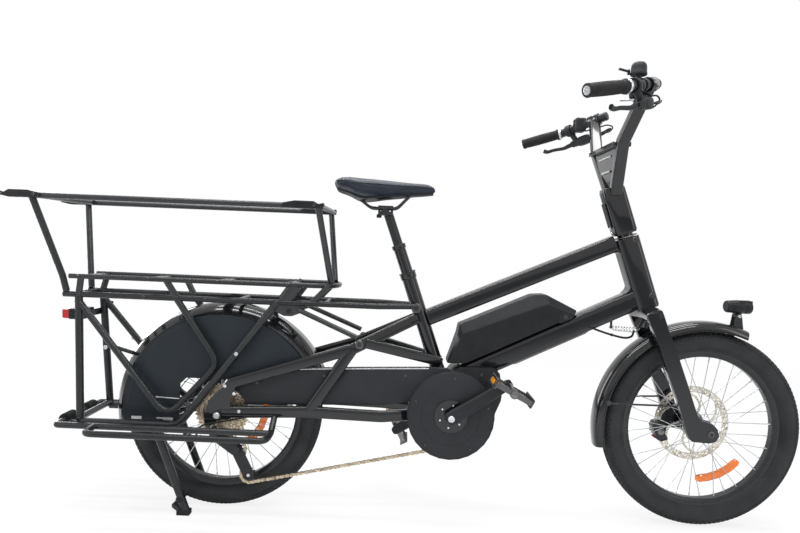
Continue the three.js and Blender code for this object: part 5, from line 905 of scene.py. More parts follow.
def dress_cranks():
    """Tapered arms on a spindle, the chain ring, and a bright bolt at each end."""
    angle = math.radians(33.6)
    crank = Piece().rod(P(CRANK_X, -93, CRANK_Z), P(CRANK_X, 90, CRANK_Z), 11)
    for side, y, turn in ((-1, 91, angle), (1, 88, angle + math.pi)):
        way = Vector((math.cos(turn), 0, math.sin(turn)))
        rows = []
        for share in (-0.075, -0.06, -0.03, 0.05, 0.2, 0.5, 0.8, 0.96, 1.02, 1.06, 1.075):
            edge = {-0.075: 0.5, -0.06: 0.78, -0.03: 0.96, 1.02: 0.93, 1.06: 0.72, 1.075: 0.45}.get(share, 1)
            high = (18 - 5 * max(0, min(1, share))) * edge
            thick = 6.6 - 1.2 * max(0, min(1, share))
            spot = P(CRANK_X, side * y, CRANK_Z) + way * CRANK_LONG * share * MM
            square = Vector((-way.z, 0, way.x))
            rows.append([spot + square * a * high * MM + ACROSS * b * thick * MM
                         for a, b in ((-1, -0.55), (-0.82, -1), (0.82, -1), (1, -0.55), (1, 0.55),
                                      (0.82, 1), (-0.82, 1), (-1, 0.55))])
        crank.skin(rows)
    crank.plate([(x + CRANK_X, z + CRANK_Z) for x, z in toothed(RING_RADIUS, 4.5, 40)], -48.2, -45.8)
    crank.done("cranks_and_ring", "cranks", LOOKS["matt"], "crankset", bevel=0.8)
    bolts = Piece().bolt(P(CRANK_X, -97.4, CRANK_Z), -ACROSS, 8.5, 3.5, 24)
    bolts.bolt(P(CRANK_X, 94.4, CRANK_Z), ACROSS, 8.5, 3.5, 24)
    for side, turn in ((-1, angle), (1, angle + math.pi)):
        x, z = CRANK_X + CRANK_LONG * math.cos(turn), CRANK_Z + CRANK_LONG * math.sin(turn)
        bolts.bolt(P(x, side * (97 if side < 0 else 94), z), ACROSS * side, 5.5, 2.4)
    bolts.done("crank_bolts", "cranks", LOOKS["alloy"])


def dress_case_opening():
    """The black plate and its screws inside the chain case's opening, and the case's fine rings."""
    spider = Piece().lathe(P(CRANK_X, 0, CRANK_Z), -ACROSS, [(15.5, 76.2), (42, 76.2), (43, 76.9),
                                                             (42.4, 77.8), (15.5, 77.8)], 64, closed=True)
    spider.done("case_opening_plate", "frame", LOOKS["gloss"])
    screws = Piece()
    for i in range(6):
        a = TURN * i / 6 + 0.35
        screws.bolt(polar(CRANK_X, CRANK_Z, 29, a, -77.6), -ACROSS, 2.6, 1.6, 12)
    screws.done("case_screws", "frame", LOOKS["alloy"])
    rings = Piece()
    for r in (75, 110.2):
        rings.lathe(P(CRANK_X, 0, CRANK_Z), -ACROSS, [(r - 0.5, 75.9), (r, 76.5), (r + 0.5, 75.9)], 96)
    rings.done("case_rings", "frame", LOOKS["matt"])


def dress_pedal(word, side, x, z, y0, tilt, body):
    """A cage pedal: two toothed side plates, a barrel, cross webs and amber reflectors."""
    turn = math.radians(tilt)
    fore, high = Vector((math.cos(turn), 0, math.sin(turn))), Vector((-math.sin(turn), 0, math.cos(turn)))
    centre = P(x, side * (y0 + 44), z)
    spot = lambda a, b, c: centre + fore * a * MM + ACROSS * side * b * MM + high * c * MM
    pedal = Piece().rod(spot(0, -50, 0), spot(0, -44, 0), 5)
    pedal.lathe(centre, ACROSS * side, [(0, -44), (9, -44), (10, -36), (8, -24), (8, 24), (11, 34),
                                        (11, 42), (6, 44), (0, 44)], 28)
    for a in (-1, 1):
        teeth = []
        for k in range(11):
            b = -44 + 8.8 * k
            teeth += [(b, 9.6), (b + 2.2, 11.9), (b + 4.4, 9.6)] if k < 10 else [(b, 9.6)]
        outline = teeth + [(b, -c) for b, c in reversed(teeth)]
        pedal.skin([[spot(a * 48 + d, b, c) for b, c in outline] for d in (-1.4, 1.4)])
        for b in (-40, 40):
            pedal.skin([[spot(d, b + e, c) for e, c in ((-1.6, -6), (1.6, -6), (1.6, 6), (-1.6, 6))]
                        for d in (0, a * 48)])
        pedal.skin([[spot(d, e, c) for e, c in ((-7, -3), (7, -3), (7, 3), (-7, 3))] for d in (0, a * 48)])
    pedal.done("pedal_cage_" + word, body, LOOKS["dark_steel"], "pedal_" + word, bevel=0.4)
    lens = Piece()
    for a in (-1, 1):
        lens.skin([[spot(a * 51.4 + d, e, c) for e, c in ((-17, -5.5), (17, -5.5), (17, 5.5), (-17, 5.5))]
                   for d in (-2, 2)])
    lens.done("pedal_reflectors_" + word, body, LOOKS["amber"], bevel=1.0)


# Seat tube, its posts, the saddle and the head of the frame
SEAT_TOP = P(471, 0, 643)
SEAT_FOOT = P(553, 0, 420)


def up_seat(up):
    """A point on the seat tube's axis, up from the tube's top."""
    return SEAT_TOP + (SEAT_TOP - SEAT_FOOT).normalized() * up * MM


def dress_posts():
    axis = (up_seat(10) - up_seat(0)).normalized()
    tube = Piece().rod(P(567, 0, 376), up_seat(-18), 19, sides=40)
    tube.lathe(up_seat(-18), axis, [(19, -2), (21, 0), (21.4, 2), (21.6, 14), (22.6, 15), (22.6, 18),
                                    (16.4, 18), (16.2, 6)], 48)
    tube.done("seat_tube_skin", "frame", LOOKS["gloss"], "seat_tube", bevel=0.6)
    pin = Piece()
    for side in SIDES.values():
        pin.lathe(P(499, side * 27, 550), ACROSS * side, [(0, -4), (13, -4), (13, 4), (12, 5.4), (7, 5.4),
                                                          (6.4, 3.4), (0, 3.4)], 40)
        pin.lathe(P(357, side * 72, 456), ACROSS * side, [(0, -4), (11, -4), (11, 3), (10, 4.4), (6, 4.4),
                                                          (5.4, 2.4), (0, 2.4)], 40)
    pin.done("seat_clamp_screw", "frame", LOOKS["dark_steel"])
    lower = Piece().rod(up_seat(-150), up_seat(66), 15.8, sides=40)
    lower.lathe(up_seat(64), axis, [(15.8, -1), (18, 0), (18.5, 1.5), (18.5, 10.5), (17.8, 12), (13.1, 12),
                                    (13, 4)], 48)
    for rise in (4, 22, 40, 58):
        lower.lathe(up_seat(rise), axis, [(15.6, -0.6), (16, 0), (15.6, 0.6)], 40)
    lower.done("lower_post_skin", "lower_post", LOOKS["gloss"], "seatpost_lower", bevel=0.4)
    screw = Piece().bolt(up_seat(70) + Vector((-0.003, -0.0175, 0)), -ACROSS, 2.6, 1.6)
    screw.done("post_clamp_screw", "lower_post", LOOKS["dark_steel"])
    upper = Piece().rod(up_seat(-40), up_seat(160), 12.7, sides=40)
    upper.block(P(408, 0, 795), (36, 44, 10))
    upper.tube([P(407, -24, 799), P(407, 24, 799)], 22, 13, 28, FORE)
    upper.block(P(408, 0, 811.5), (38, 50, 6))
    for x, drop in ((391, 0), (425, -3)):
        upper.rod(P(x, 0, 785 + drop), P(x, 0, 816), 3, sides=16)
        upper.lathe(P(x, 0, 787 + drop), UP, [(0, -4), (6, -4), (6.8, -2), (6.8, 4), (5, 6), (0, 6)], 24)
    upper.done("upper_post_skin", "upper_post", LOOKS["satin"], "seatpost_upper", bevel=0.8)
    rails = Piece()
    for side in SIDES.values():
        route = [P(SADDLE_BACK + a * SADDLE_LONG, side * b * 2 * SADDLE_HALF, SADDLE_TOP - c * SADDLE_HIGH)
                 for a, b, c in ((0.25, 0.17, 0.66), (0.3, 0.152, 0.79), (0.35, 0.135, 0.905),
                                 (0.4, 0.128, 0.94), (0.56, 0.113, 0.94), (0.62, 0.107, 0.89),
                                 (0.68, 0.084, 0.69), (0.74, 0.06, 0.48))]
        rails.tube(spline(route, 6), 7, sides=16)
    rails.done("saddle_rails", "upper_post", LOOKS["satin"])


# Saddle stations: shares of the length; of the width; of the drop from the top to the ridge; of the depth
SADDLE_SHARES = ((0, 0.5, 0.2, 0.32), (0.015, 0.74, 0.1, 0.46), (0.06, 0.9, 0.03, 0.62), (0.16, 1, 0, 0.8),
                 (0.26, 0.96, 0.02, 0.98), (0.36, 0.84, 0.03, 0.96), (0.5, 0.61, 0.05, 0.84),
                 (0.64, 0.41, 0.07, 0.74), (0.76, 0.31, 0.09, 0.64), (0.88, 0.26, 0.11, 0.56),
                 (0.96, 0.22, 0.17, 0.45), (1, 0.14, 0.32, 0.27))


def saddle_row(station, inset, turns):
    """Points of the saddle's section at the given shares of a turn, drawn in from the CAD solid by inset."""
    along_share, wide, drop, depth = station
    # The cushion ends short of the solid's underside, where its plastic base is
    half, deep = wide * SADDLE_HALF - inset, depth * SADDLE_DEEP * 0.9 - 2 * inset
    top = SADDLE_TOP - drop * SADDLE_DEEP - inset
    end = 2.5 * (1 - 2 * along_share) if along_share in (0, 1) else 0
    row = []
    for turn in turns:
        c, s = math.cos(TURN * turn), math.sin(TURN * turn)
        y = math.copysign(abs(c) ** 0.75, c) * half * (1 - 0.3 * max(0, -s))
        rise = max(0, s) ** 0.8 * 0.4 - max(0, -s) ** 0.6 * 0.6
        row.append(P(SADDLE_BACK + SADDLE_LONG * along_share + end, y, top + (rise - 0.4) * deep))
    return row


def puffed(mesh, pressure, most):
    """The closed mesh as an even one, swollen by air, with no point moved by more than most."""
    source = bpy.data.objects.new("puffing", mesh)
    bpy.context.collection.objects.link(source)
    even = source.modifiers.new("even", "REMESH")
    even.mode = "VOXEL"
    even.voxel_size = 4.5 * MM
    deps = bpy.context.evaluated_depsgraph_get()
    start = bpy.data.meshes.new_from_object(source.evaluated_get(deps))
    source.modifiers.clear()
    source.data = start
    cloth = source.modifiers.new("cloth", "CLOTH")
    cloth.settings.use_pressure = True
    cloth.settings.uniform_pressure_force = pressure
    cloth.settings.effector_weights.gravity = 0
    for step in range(1, 21):
        bpy.context.scene.frame_set(step)
    deps = bpy.context.evaluated_depsgraph_get()
    swollen = [v.co.copy() for v in source.evaluated_get(deps).data.vertices]
    source.modifiers.clear()
    bpy.context.scene.frame_set(1)
    for v, far in zip(start.vertices, swollen):
        move = far - v.co
        v.co += move * min(1, most * MM / max(move.length, 1e-9))
    bpy.data.objects.remove(source)
    # The weave's small creases are eased out, as a stretched skin has none
    shape = bmesh.new()
    shape.from_mesh(start)
    for _ in range(12):
        bmesh.ops.smooth_vert(shape, verts=shape.verts, factor=0.5, use_axis_x=True, use_axis_y=True,
                              use_axis_z=True)
    shape.to_mesh(start)
    shape.free()
    return start


def dress_saddle():
    """The stuffed saddle: air swells its skin, then a channel, seams and a plastic base are added."""
    stations = spline([Vector(s) for s in SADDLE_SHARES], 3)
    rows = [saddle_row(tuple(s), 2.4, [k / 48 for k in range(48)]) for s in stations]
    cover = Piece().skin(rows).done("saddle_cushion", "upper_post", LOOKS["skin"], "saddle", angle=80)
    mesh = puffed(cover.data, 4, 2.2)
    mesh.materials.clear()
    mesh.materials.append(LOOKS["skin"])
    for v in mesh.vertices:
        share = (v.co.x / MM + ORIGIN_X - SADDLE_BACK) / SADDLE_LONG
        if 0.2 < share < 0.86 and v.normal.z > 0.3:
            fall = math.sin(math.pi * (share - 0.2) / 0.66)
            v.co.z -= 2.6 * MM * fall * math.exp(-(v.co.y / 0.006) ** 2)
    mesh.shade_smooth()
    cover.data = mesh
    smooth = cover.modifiers.new("smooth", "SUBSURF")
    smooth.levels = smooth.render_levels = 1
    tree = BVHTree.FromPolygons([v.co for v in mesh.vertices], [tuple(p.vertices) for p in mesh.polygons])

    def on_skin(point, lift):
        spot, normal = tree.find_nearest(point)[:2]
        return spot + normal * lift * MM

    seams = Piece()
    for side in SIDES.values():
        for turn in (0.035, 0.05):
            share = turn if side > 0 else 0.5 - turn
            route = [on_skin(saddle_row(tuple(s), 0, [share])[0], 0.15) for s in stations[4:-2]]
            seams.tube(spline(route, 2), 1.1, sides=8)
    for share in (0.09, 0.17):
        spots = [saddle_row((share, 0.96, 0, 0.88), 0, [k / 40])[0] for k in range(1, 20)]
        seams.tube(spline([on_skin(p, 0.15) for p in spots], 2), 1.0, sides=8)
    seams.done("saddle_seams", "upper_post", LOOKS["rubber"], angle=60)
    # The plastic base: a shallow tray under the cushion, deeper at the rear
    base = Piece()
    tray = []
    for s in stations[5:-3]:
        along_share, wide, drop, depth = s
        low = saddle_row((along_share, wide * 0.93, drop, depth / 0.9), 1, (0.62, 0.68, 0.75, 0.82, 0.88))
        high = [p + UP * 0.2 * depth * SADDLE_DEEP * MM for p in reversed(low)]
        tray.append(low + high)
    base.skin(tray)
    base.done("saddle_base", "upper_post", LOOKS["plastic"], bevel=0.8, segments=2)


def fillet(a, corner, b):
    """Points of a hollow curve from a to b, drawn towards the corner."""
    pull = corner.lerp((a + b) / 2, 0.12)
    return [a * (1 - t) ** 2 + pull * 2 * t * (1 - t) + b * t ** 2 for t in (0, 0.2, 0.4, 0.6, 0.8, 1)]


def dress_head():
    head = Piece().tube([column(3, -2), column(193, -2)], 56, 62, 56, ACROSS, square=0.46)
    head.tube([column(-1, -2), column(4, -2)], 54, 60, 48, ACROSS, square=0.5)
    # Round fillets where the tubes meet the head, as in the photograph's wide window corners
    down = (column(0) - column(10)).normalized()
    for corner, tube, way in ((P(1027, 0, 723), TOP_TUBE, 1), (P(1062, 0, 619), DOWN_TUBE, -1)):
        a = corner - (tube[1] - tube[0]).normalized() * 20 * MM
        b = corner + down * way * 20 * MM
        head.skin([[p + ACROSS * y * MM for p in [corner + (corner - (a + b) / 2) * 0.3,
                                                  *fillet(a, corner, b)]] for y in (-20, 20)])
    for spot in (column(184, 11, -26.5), P(1110, -26.5, 608)):
        head.lathe(spot, -ACROSS, [(0, -2), (9.5, -2), (9.5, 1), (8.7, 1.8), (0, 1.8)], 36)
    head.done("head_tube_skin", "frame", LOOKS["gloss"], "head_tube", bevel=0.6)


# Steering: fork, stem, bars and their controls
def bar_route(side):
    return [P(1032, side * 168, 1112), P(937, side * 265, 1078), P(830, side * 320, 1050)]


def bar_point(side, share):
    return along(*bar_route(side)[:2], share)


def bar_way(side):
    return (bar_point(side, 1) - bar_point(side, 0)).normalized()


def dress_fork():
    crown = [column(-13, -9, -68), column(-13, -6, -50), column(-13, -2, -20), column(-13, -2, 20),
             column(-13, -6, 50), column(-13, -9, 68)]
    fork = Piece().tube(crown, 25, 44, 40, column(10) - column(0), square=0.5, sizes=(0.94, 1, 1, 1, 1, 0.94))
    fork.rod(column(-13), column(262), 20, sides=40)
    blade = [P(x, 0, z) for x, z in ((1083, 561), (1086, 566), (1120, 572), (1125, 568), (1146, 513),
                                     (1168, 463), (1196, 391), (1216, 338), (1228, 306), (1240, 294),
                                     (1268, 287), (1280, 275), (1286, 256), (1278, 243), (1262, 238),
                                     (1219, 240), (1209, 247), (1201, 263), (1173, 346), (1148, 406),
                                     (1115, 493))]
    for side in SIDES.values():
        fork.skin([[P(1180, 0, 400).lerp(p, share) + ACROSS * side * y * MM for p in blade]
                   for share, y in ((0.985, 54.5), (1, 56.5), (1, 67), (0.985, 69.4))])
    fork.rod(P(1089, 0, 516), column(-13), 3.2, sides=16)
    fork.done("fork_skin", "steerer", LOOKS["gloss"], "fork", bevel=0.6)
    nuts = Piece()
    for side in SIDES.values():
        nuts.bolt(P(1263, side * 69.2, 262), ACROSS * side, 8.6, 2.6, 32)
    nuts.done("axle_bolts_front", "steerer", LOOKS["dark_steel"])


def dress_stem():
    stem = Piece().tube([column(204), column(211), column(322), column(332)], 52, 60, 56, ACROSS, square=0.46,
                        sizes=(0.92, 1, 1, 0.9))
    for side in SIDES.values():
        top = bar_point(side, 0.26)
        stem.tube([column(314, 0, side * 20), P(988, side * 98, 990), top], 30, 24, 40, FORE, square=0.42)
        way = bar_way(side)
        stem.lathe(top, way, collar(13, 17.5, 16.5, 0.7, 0.9), 40, closed=True)
        stem.block(top + way.cross(UP) * side * -0.0155, (28, 6, 20), way, UP)
    # The plate between the arms, with a raised edge and two slots' dark inlays
    stem.block(P(988, 0, 985), (44, 190, 8))
    for x in (967, 1009):
        stem.block(P(x, 0, 985), (3, 190, 11))
    stem.done("stem_skin", "steerer", LOOKS["gloss"], "stem", bevel=1.2, segments=3)
    web = Piece()
    rows = []
    for centre, reach in ((P(978, 0, 984), 88), (P(982, 0, 940), 66), (column(318, -4), 27)):
        back, fore = centre, centre + Vector((0.007, 0, 0.002))
        rows.append([back - ACROSS * reach * MM, back + ACROSS * reach * MM, fore + ACROSS * reach * MM,
                     fore - ACROSS * reach * MM])
    web.skin(rows)
    web.done("stem_web", "steerer", LOOKS["gloss"], bevel=0.8)
    # Light strips over the two slots of the web: painted highlight lines
    slots = Piece()
    for rise, reach in ((962, 44), (925, 30)):
        slots.block(P(978.6 + (962 - rise) * 0.1, 0, rise), (3, 2 * reach, 5))
    slots.done("stem_slot_painted_highlights", "steerer", LOOKS["band"], bevel=0.8)
    panel = Piece().block(column(262, -32.2), (2.2, 26, 66), column(0, 10) - column(0),
                          column(10) - column(0))
    panel.done("stem_panel", "steerer", LOOKS["plastic"], bevel=0.8)
    screws = Piece()
    for rise in (214, 226):
        screws.bolt(column(rise, -31.4), column(0, -10) - column(0), 4, 2.4)
    for side in SIDES.values():
        way = bar_way(side)
        for shift in (-8, 8):
            screws.bolt(bar_point(side, 0.26) + way * shift * MM + way.cross(UP) * side * -0.018,
                        way.cross(UP) * -side, 3.2, 3)
        screws.bolt(P(988, side * 84, 989.4), UP, 3.6, 2)
    screws.done("stem_screws", "steerer", LOOKS["alloy"])
    ring = Piece().lathe(column(196.5), column(10) - column(0), [(20.5, -0.9), (29.5, -0.9), (30, 0),
                                                                 (29.5, 0.9), (20.5, 0.9)], 56, closed=True)
    ring.done("headset_ring", "steerer", LOOKS["dark_steel"])


def dress_bars():
    for word, side in SIDES.items():
        route = bend(bar_route(side), 100, 16)
        bar = Piece().tube(route, 25, sides=36)
        bar.lathe(route[0], route[0] - route[1], [(12.4, -3), (13, -2), (13, 0.6), (11.6, 3.6), (7, 5.6),
                                                  (0, 6.2)], 36)
        bar.done("bar_" + word, "steerer", LOOKS["satin"], "handlebar_" + word)
        inner, outer = bar_route(side)[1:]
        start, way = along(inner, outer, 0.12), (outer - inner).normalized()
        long = (outer - start).length / MM + 5
        profile = [(12.8, 0), (16, 0), (16.8, 1.2), (16.8, 3.6), (15.2, 5.2), (14.4, 9)]
        count = 30
        for i in range(count):
            at = 12 + (long - 24) * i / count
            swell = 14.1 + 0.8 * math.sin(math.pi * i / count)
            profile += [(swell, at), (swell + 0.5, at + 0.8), (swell + 0.5, at + 2.0), (swell, at + 2.8)]
        profile += [(14.4, long - 9), (15.1, long - 6), (15.1, long - 1.5), (14, long), (10.5, long),
                    (10, long - 0.8), (0, long - 0.8)]
        Piece().lathe(start, way, profile, 48).done("grip_ribbed_" + word, "steerer", LOOKS["rubber"],
                                                    "grip_" + word, angle=50)
        clamp = Piece().lathe(start - way * 5 * MM, way, collar(12.8, 16.2, 3.5, 0.6, 0.9), 40, closed=True)
        clamp.bolt(start - way * 5 * MM + Vector((0, 0, -0.0158)), -UP, 2.6, 2)
        clamp.done("grip_clamp_" + word, "steerer", LOOKS["alloy"])
        plug = Piece().lathe(outer + way * 5 * MM, way, [(10, -0.8), (9.4, 0.2), (7, 0.6), (6.4, 0.1),
                                                         (3.2, 0.1), (2.6, 0.7), (0, 0.7)], 36)
        plug.done("grip_plug_" + word, "steerer", LOOKS["band"])


def dress_brakes():
    """On each side the clamped brake body with its screws, and the lever's blade."""
    for word, side in SIDES.items():
        clamp = bar_point(side, 0.86)
        way = bar_way(side)
        shift = Vector((0.014, 0, -0.04))
        pivot, tank_end = clamp + shift, bar_point(side, 0.45) + shift
        lever_axis = (bar_route(side)[2] - bar_route(side)[1]).cross(UP).normalized()
        body = Piece().lathe(clamp, way, collar(12.8, 17.5, 8, 0.7), 40, closed=True)
        # The tank: a boxy housing that narrows to the hose's ferrule
        body.tube(spline([tank_end, along(tank_end, pivot, 0.35), along(tank_end, pivot, 0.75),
                          pivot - way * 0.004], 4), 28, 23, 32, UP, square=0.55,
                  sizes=[0.72 + 0.28 * math.sin(math.pi * min(1, i / 8)) ** 0.5 for i in range(13)])
        body.tube([clamp, along(tank_end, pivot, 0.75)], 16, 16, 24)
        for way_y in (-1, 1):
            ear = pivot + lever_axis * way_y * 7.4 * MM
            body.rod(ear - lever_axis * 1.5 * MM, ear + lever_axis * 1.5 * MM, 8.4, sides=28)
        body.rod(pivot - lever_axis * 9.5 * MM, pivot + lever_axis * 9.5 * MM, 2.6, sides=16)
        body.done("brake_housing_" + word, "steerer", LOOKS["matt"], "brake_body_" + word, bevel=0.8)
        fittings = Piece()
        for height in (-9, 9):
            fittings.bolt(clamp + Vector((0.0165, 0, height * MM)), FORE, 2.8, 3)
        fittings.lathe(tank_end, bar_point(side, 0) - bar_point(side, 1), [(0, 0), (5, 0), (5, 5), (3.6, 7),
                                                                           (3.4, 12), (0, 12)], 24)
        fittings.block(along(tank_end, pivot, 0.5) + Vector((-0.0105, 0, -0.004)), (1.4, 14, 6),
                       way.cross(UP), UP)
        fittings.done("brake_fittings_" + word, "steerer", LOOKS["dark_steel"], bevel=0.3)
        tip = P(891, side * 290, 1023)
        knee = along(pivot, tip, 0.35) - UP * 5 * MM
        curl = tip + Vector((-0.004, side * 0.004, 0.002))
        route = spline([pivot, along(pivot, knee, 0.6), knee, along(knee, tip, 0.55),
                        along(knee, tip, 0.85) - UP * 2 * MM, tip, curl], 6)
        sizes = [0.95 + 0.14 * math.cos(TURN * i / (len(route) - 1)) for i in range(len(route))]
        blade = Piece().tube(route, 12, 8.6, 24, UP, square=0.62, sizes=sizes)
        blade.rod(pivot - lever_axis * 5 * MM, pivot + lever_axis * 5 * MM, 7, sides=28)
        blade.rod(tip - UP * 4.6 * MM, tip + UP * 4.6 * MM, 5, sides=20)
        blade.done("lever_blade_" + word, "lever_r" if side < 0 else "lever_l", LOOKS["satin"],
                   "brake_lever_" + word, bevel=0.6)


def dress_bell():
    """A tall dome with a brim, on its strap."""
    spot, way = bar_point(-1, 0.715), bar_way(-1)
    bell = Piece().lathe(spot + UP * 22 * MM, UP, [(0, 0.5), (16, 0.5), (17.4, 0), (18, 1.2), (18, 4),
                                                   (17.2, 5.4), (16.9, 17), (15.6, 23), (12, 27.4),
                                                   (6, 29.4), (0, 29.8)], 48)
    bell.done("bell_dome", "steerer", LOOKS["matt"], "bell")
    base = Piece().lathe(spot, way, collar(12.8, 15.8, 6), 36, closed=True)
    base.rod(spot + UP * 12 * MM, spot + UP * 22.6 * MM, 6, 7.4, 24)
    base.tube([spot + UP * 24.5 * MM, spot + Vector((-0.025, 0, 0.0245))], 5, 5, 16)
    base.rod(spot + Vector((-0.022, 0, 0.022)), spot + Vector((-0.022, 0, 0.0345)), 1.5, sides=14)
    base.done("bell_strap", "steerer", LOOKS["plastic"])


def dress_remote():
    """The display's remote with its keys and window."""
    spot = bar_point(1, 0.585) + Vector((-0.003, 0, 0.003))
    remote = Piece().block(spot, (33, 37, 41))
    remote.done("remote_case", "steerer", LOOKS["matt"], "remote", bevel=7, segments=5)
    keys = Piece()
    for rise in (-9, 1.5, 12):
        keys.block(spot + Vector((-0.0168, 0.002, rise * MM)), (1.6, 15, 7))
    keys.done("remote_keys", "steerer", LOOKS["rubber"], bevel=0.7)
    window = Piece().block(spot + Vector((-0.0012, -0.0004, 0.0206)), (22, 24, 1))
    window.done("remote_window", "steerer", LOOKS["glass"], bevel=0.4)


def dress_shifter():
    """The shifter's pod with its adjuster."""
    spot, way = bar_point(-1, 0.56), bar_way(-1)
    low = spot + UP.cross(way).normalized() * -15 * MM - UP * 26 * MM
    pod = Piece().lathe(low, UP, [(0, 0), (11.5, 0), (12.7, 1.2), (13, 5), (13, 10), (12, 13), (9, 14),
                                  (0, 14)], 40)
    pod.lathe(spot, way, collar(12.8, 15.6, 6), 36, closed=True)
    pod.rod(spot, low + UP * 7 * MM, 6, sides=20)
    pod.rod(low - UP * 16 * MM, low + UP * MM, 3, sides=16)
    pod.lathe(low + UP * 7 * MM, bar_point(-1, 0) - bar_point(-1, 1), [(0, 8), (5, 11), (5, 17), (4, 19),
                                                                       (3.2, 24), (0, 24)], 20)
    pod.done("shifter_pod", "steerer", LOOKS["plastic"], "shifter")


def cable(name, points, wide, body="frame", look="cable"):
    """A held cable or hose, fixed at both ends."""
    Piece().tube(spline(points, 8), wide, sides=14).done(name, body, LOOKS[look], angle=60)


def dress_cables():
    # Short loops from the brakes, the shifter and the remote into the stem's arms
    for word, side in SIDES.items():
        tank = bar_point(side, 0.45) + Vector((0.014, 0, -0.04))
        lead = (bar_point(side, 0) - bar_point(side, 1)).normalized() * 12 * MM
        loop = [P(1030, side * 190, 1062), P(1046, side * 168, 1074), P(1036, side * 150, 1072),
                P(1018, side * 156, 1062)]
        cable("brake_hose_" + word, [tank + lead, *loop, P(1001, side * 161, 1066)], 5, "steerer")
        if side < 0:
            start = bar_point(-1, 0.56) + Vector((0.008, 0.026, -0.014))
        else:
            start = bar_point(1, 0.585) + Vector((0.012, -0.01, -0.016))
        loop = [P(1018, side * 178, 1082), P(1037, side * 166, 1086), P(1048, side * 154, 1078),
                P(1034, side * 146, 1062)]
        cable("control_cable_" + word, [start, *loop, P(998, side * 154, 1056)], 4, "steerer")
    # The hose that loops under the down tube to the fork, with its ties
    hose = [P(916, -18, 536), P(928, -21, 529), P(955, -23, 519), P(981, -24, 510), P(1013, -24, 501),
            P(1048, -20, 494), P(1070, -12, 498), P(1078, -4, 512)]
    cable("hose_under_tube", hose, 5.6)
    ties = Piece()
    for spot, way in ((hose[2], hose[3] - hose[2]), (hose[4], hose[5] - hose[4])):
        ties.lathe(spot, way, [(2.6, -1.4), (3.8, -1.4), (3.8, 1.4), (2.6, 1.4)], 18, closed=True)
    ties.done("hose_ties", "frame", LOOKS["rubber"])
    # The front brake's hose down the left leg, and the gear cable at the rear
    cable("front_caliper_hose", [column(-30, 6, 50), P(1140, 74, 480), P(1180, 76, 380), P(1196, 66, 300),
                                 P(1180, 52, 262)], 5, "steerer")
    cable("gear_cable_rear", [P(120, -68, 270), P(40, -77, 250), P(-30, -80, 236), P(-52, -76, 212),
                              P(-34, -70, 190), P(-14, -66, 196)], 4.4)
    cable("rear_brake_hose", [P(150, 66, 284), P(90, 74, 270), P(40, 76, 280), P(10, 70, 292)], 5)


def dress_spring():
    """Hooks at both ends of the coil spring."""
    for name, x, z, way, body in (("rear", 1024, 515, -1, "frame"), ("front", 1084, 513, 1, "steerer")):
        route = [P(x + way * a, b, z + c) for a, b, c in ((-1, 0, 6.4), (1.5, 0, 5), (3, 0, 2), (5, 0, 0),
                                                          (8, 0, 0.6), (9.6, 0, 3), (8, 0, 5.6),
                                                          (5.4, 0, 5))]
        Piece().tube(spline(route, 5), 2.6, sides=12).done("spring_hook_" + name, body, LOOKS["steel"],
                                                           angle=60)


# Battery, motor and covers
# The battery's side outline: shares of its length and height, round its middle and round its flat flanks
CASE_SHARES = ((-0.11, 0.2), (0.02, 0), (0.96, 0), (1, 0.08), (0.83, 0.8), (0.735, 0.93), (0.105, 1),
               (0.06, 0.8))
FLANK_SHARES = ((-0.1, 0.2), (0.025, 0.01), (0.945, 0.01), (0.965, 0.03), (0.81, 0.56), (0.7, 0.6),
                (0.095, 0.75), (0.065, 0.66))


def dress_battery():
    def row(outline, y):
        return [by_battery(CASE_LONG * u, CASE_HIGH * v, y) for u, v in outline]
    case = Piece().skin([row(FLANK_SHARES, -CASE_HALF), row(CASE_SHARES, -26), row(CASE_SHARES, 26),
                         row(FLANK_SHARES, CASE_HALF)])
    case.done("battery_case", "battery_pack", LOOKS["plastic"], "battery", bevel=2.6, segments=4, angle=14)
    trim = Piece()
    for side in SIDES.values():
        # Seams round the rubber foot and its corner
        spot = lambda x, z: P(x, side * 42.1, z)
        trim.tube([spot(619, 471), spot(624, 466), spot(659, 441), spot(634, 421)], 1.2, 1.8, 8, ACROSS)
        trim.tube([spot(601, 434), spot(626, 418)], 1.2, 1.8, 8, ACROSS)
        trim.tube([by_battery(47, 3, side * 42.1), by_battery(300, 3, side * 42.1)], 1, 1.6, 8, ACROSS)
    trim.done("battery_seams", "battery_pack", LOOKS["rubber"])
    lock = Piece()
    cover = ((866, 530), (867, 547), (872, 559), (884, 556), (906, 548), (902, 541), (874, 528))
    lock.plate(cover, -43.2, -41)
    lock.done("lock_cover", "battery_pack", LOOKS["rubber"], bevel=0.7)
    key = Piece().bolt(P(885, -42.9, 545), -ACROSS, 4.6, 0.9)
    key.done("lock_barrel", "battery_pack", LOOKS["dark_steel"])
    port = Piece().lathe(by_battery(60, 24, 42), ACROSS, [(0, 0.2), (8, 0.2), (9, 0.9), (9.6, 0), (0, 0)], 32)
    port.done("charge_port", "battery_pack", LOOKS["rubber"])
    lamps = Piece()
    for i in range(4):
        lamps.block(by_battery(228 + 7 * i, 30, 42.2), (4, 0.6, 2), by_battery(10, 0) - by_battery(0, 0), UP)
    lamps.done("charge_lamps", "battery_pack", LOOKS["glass"])


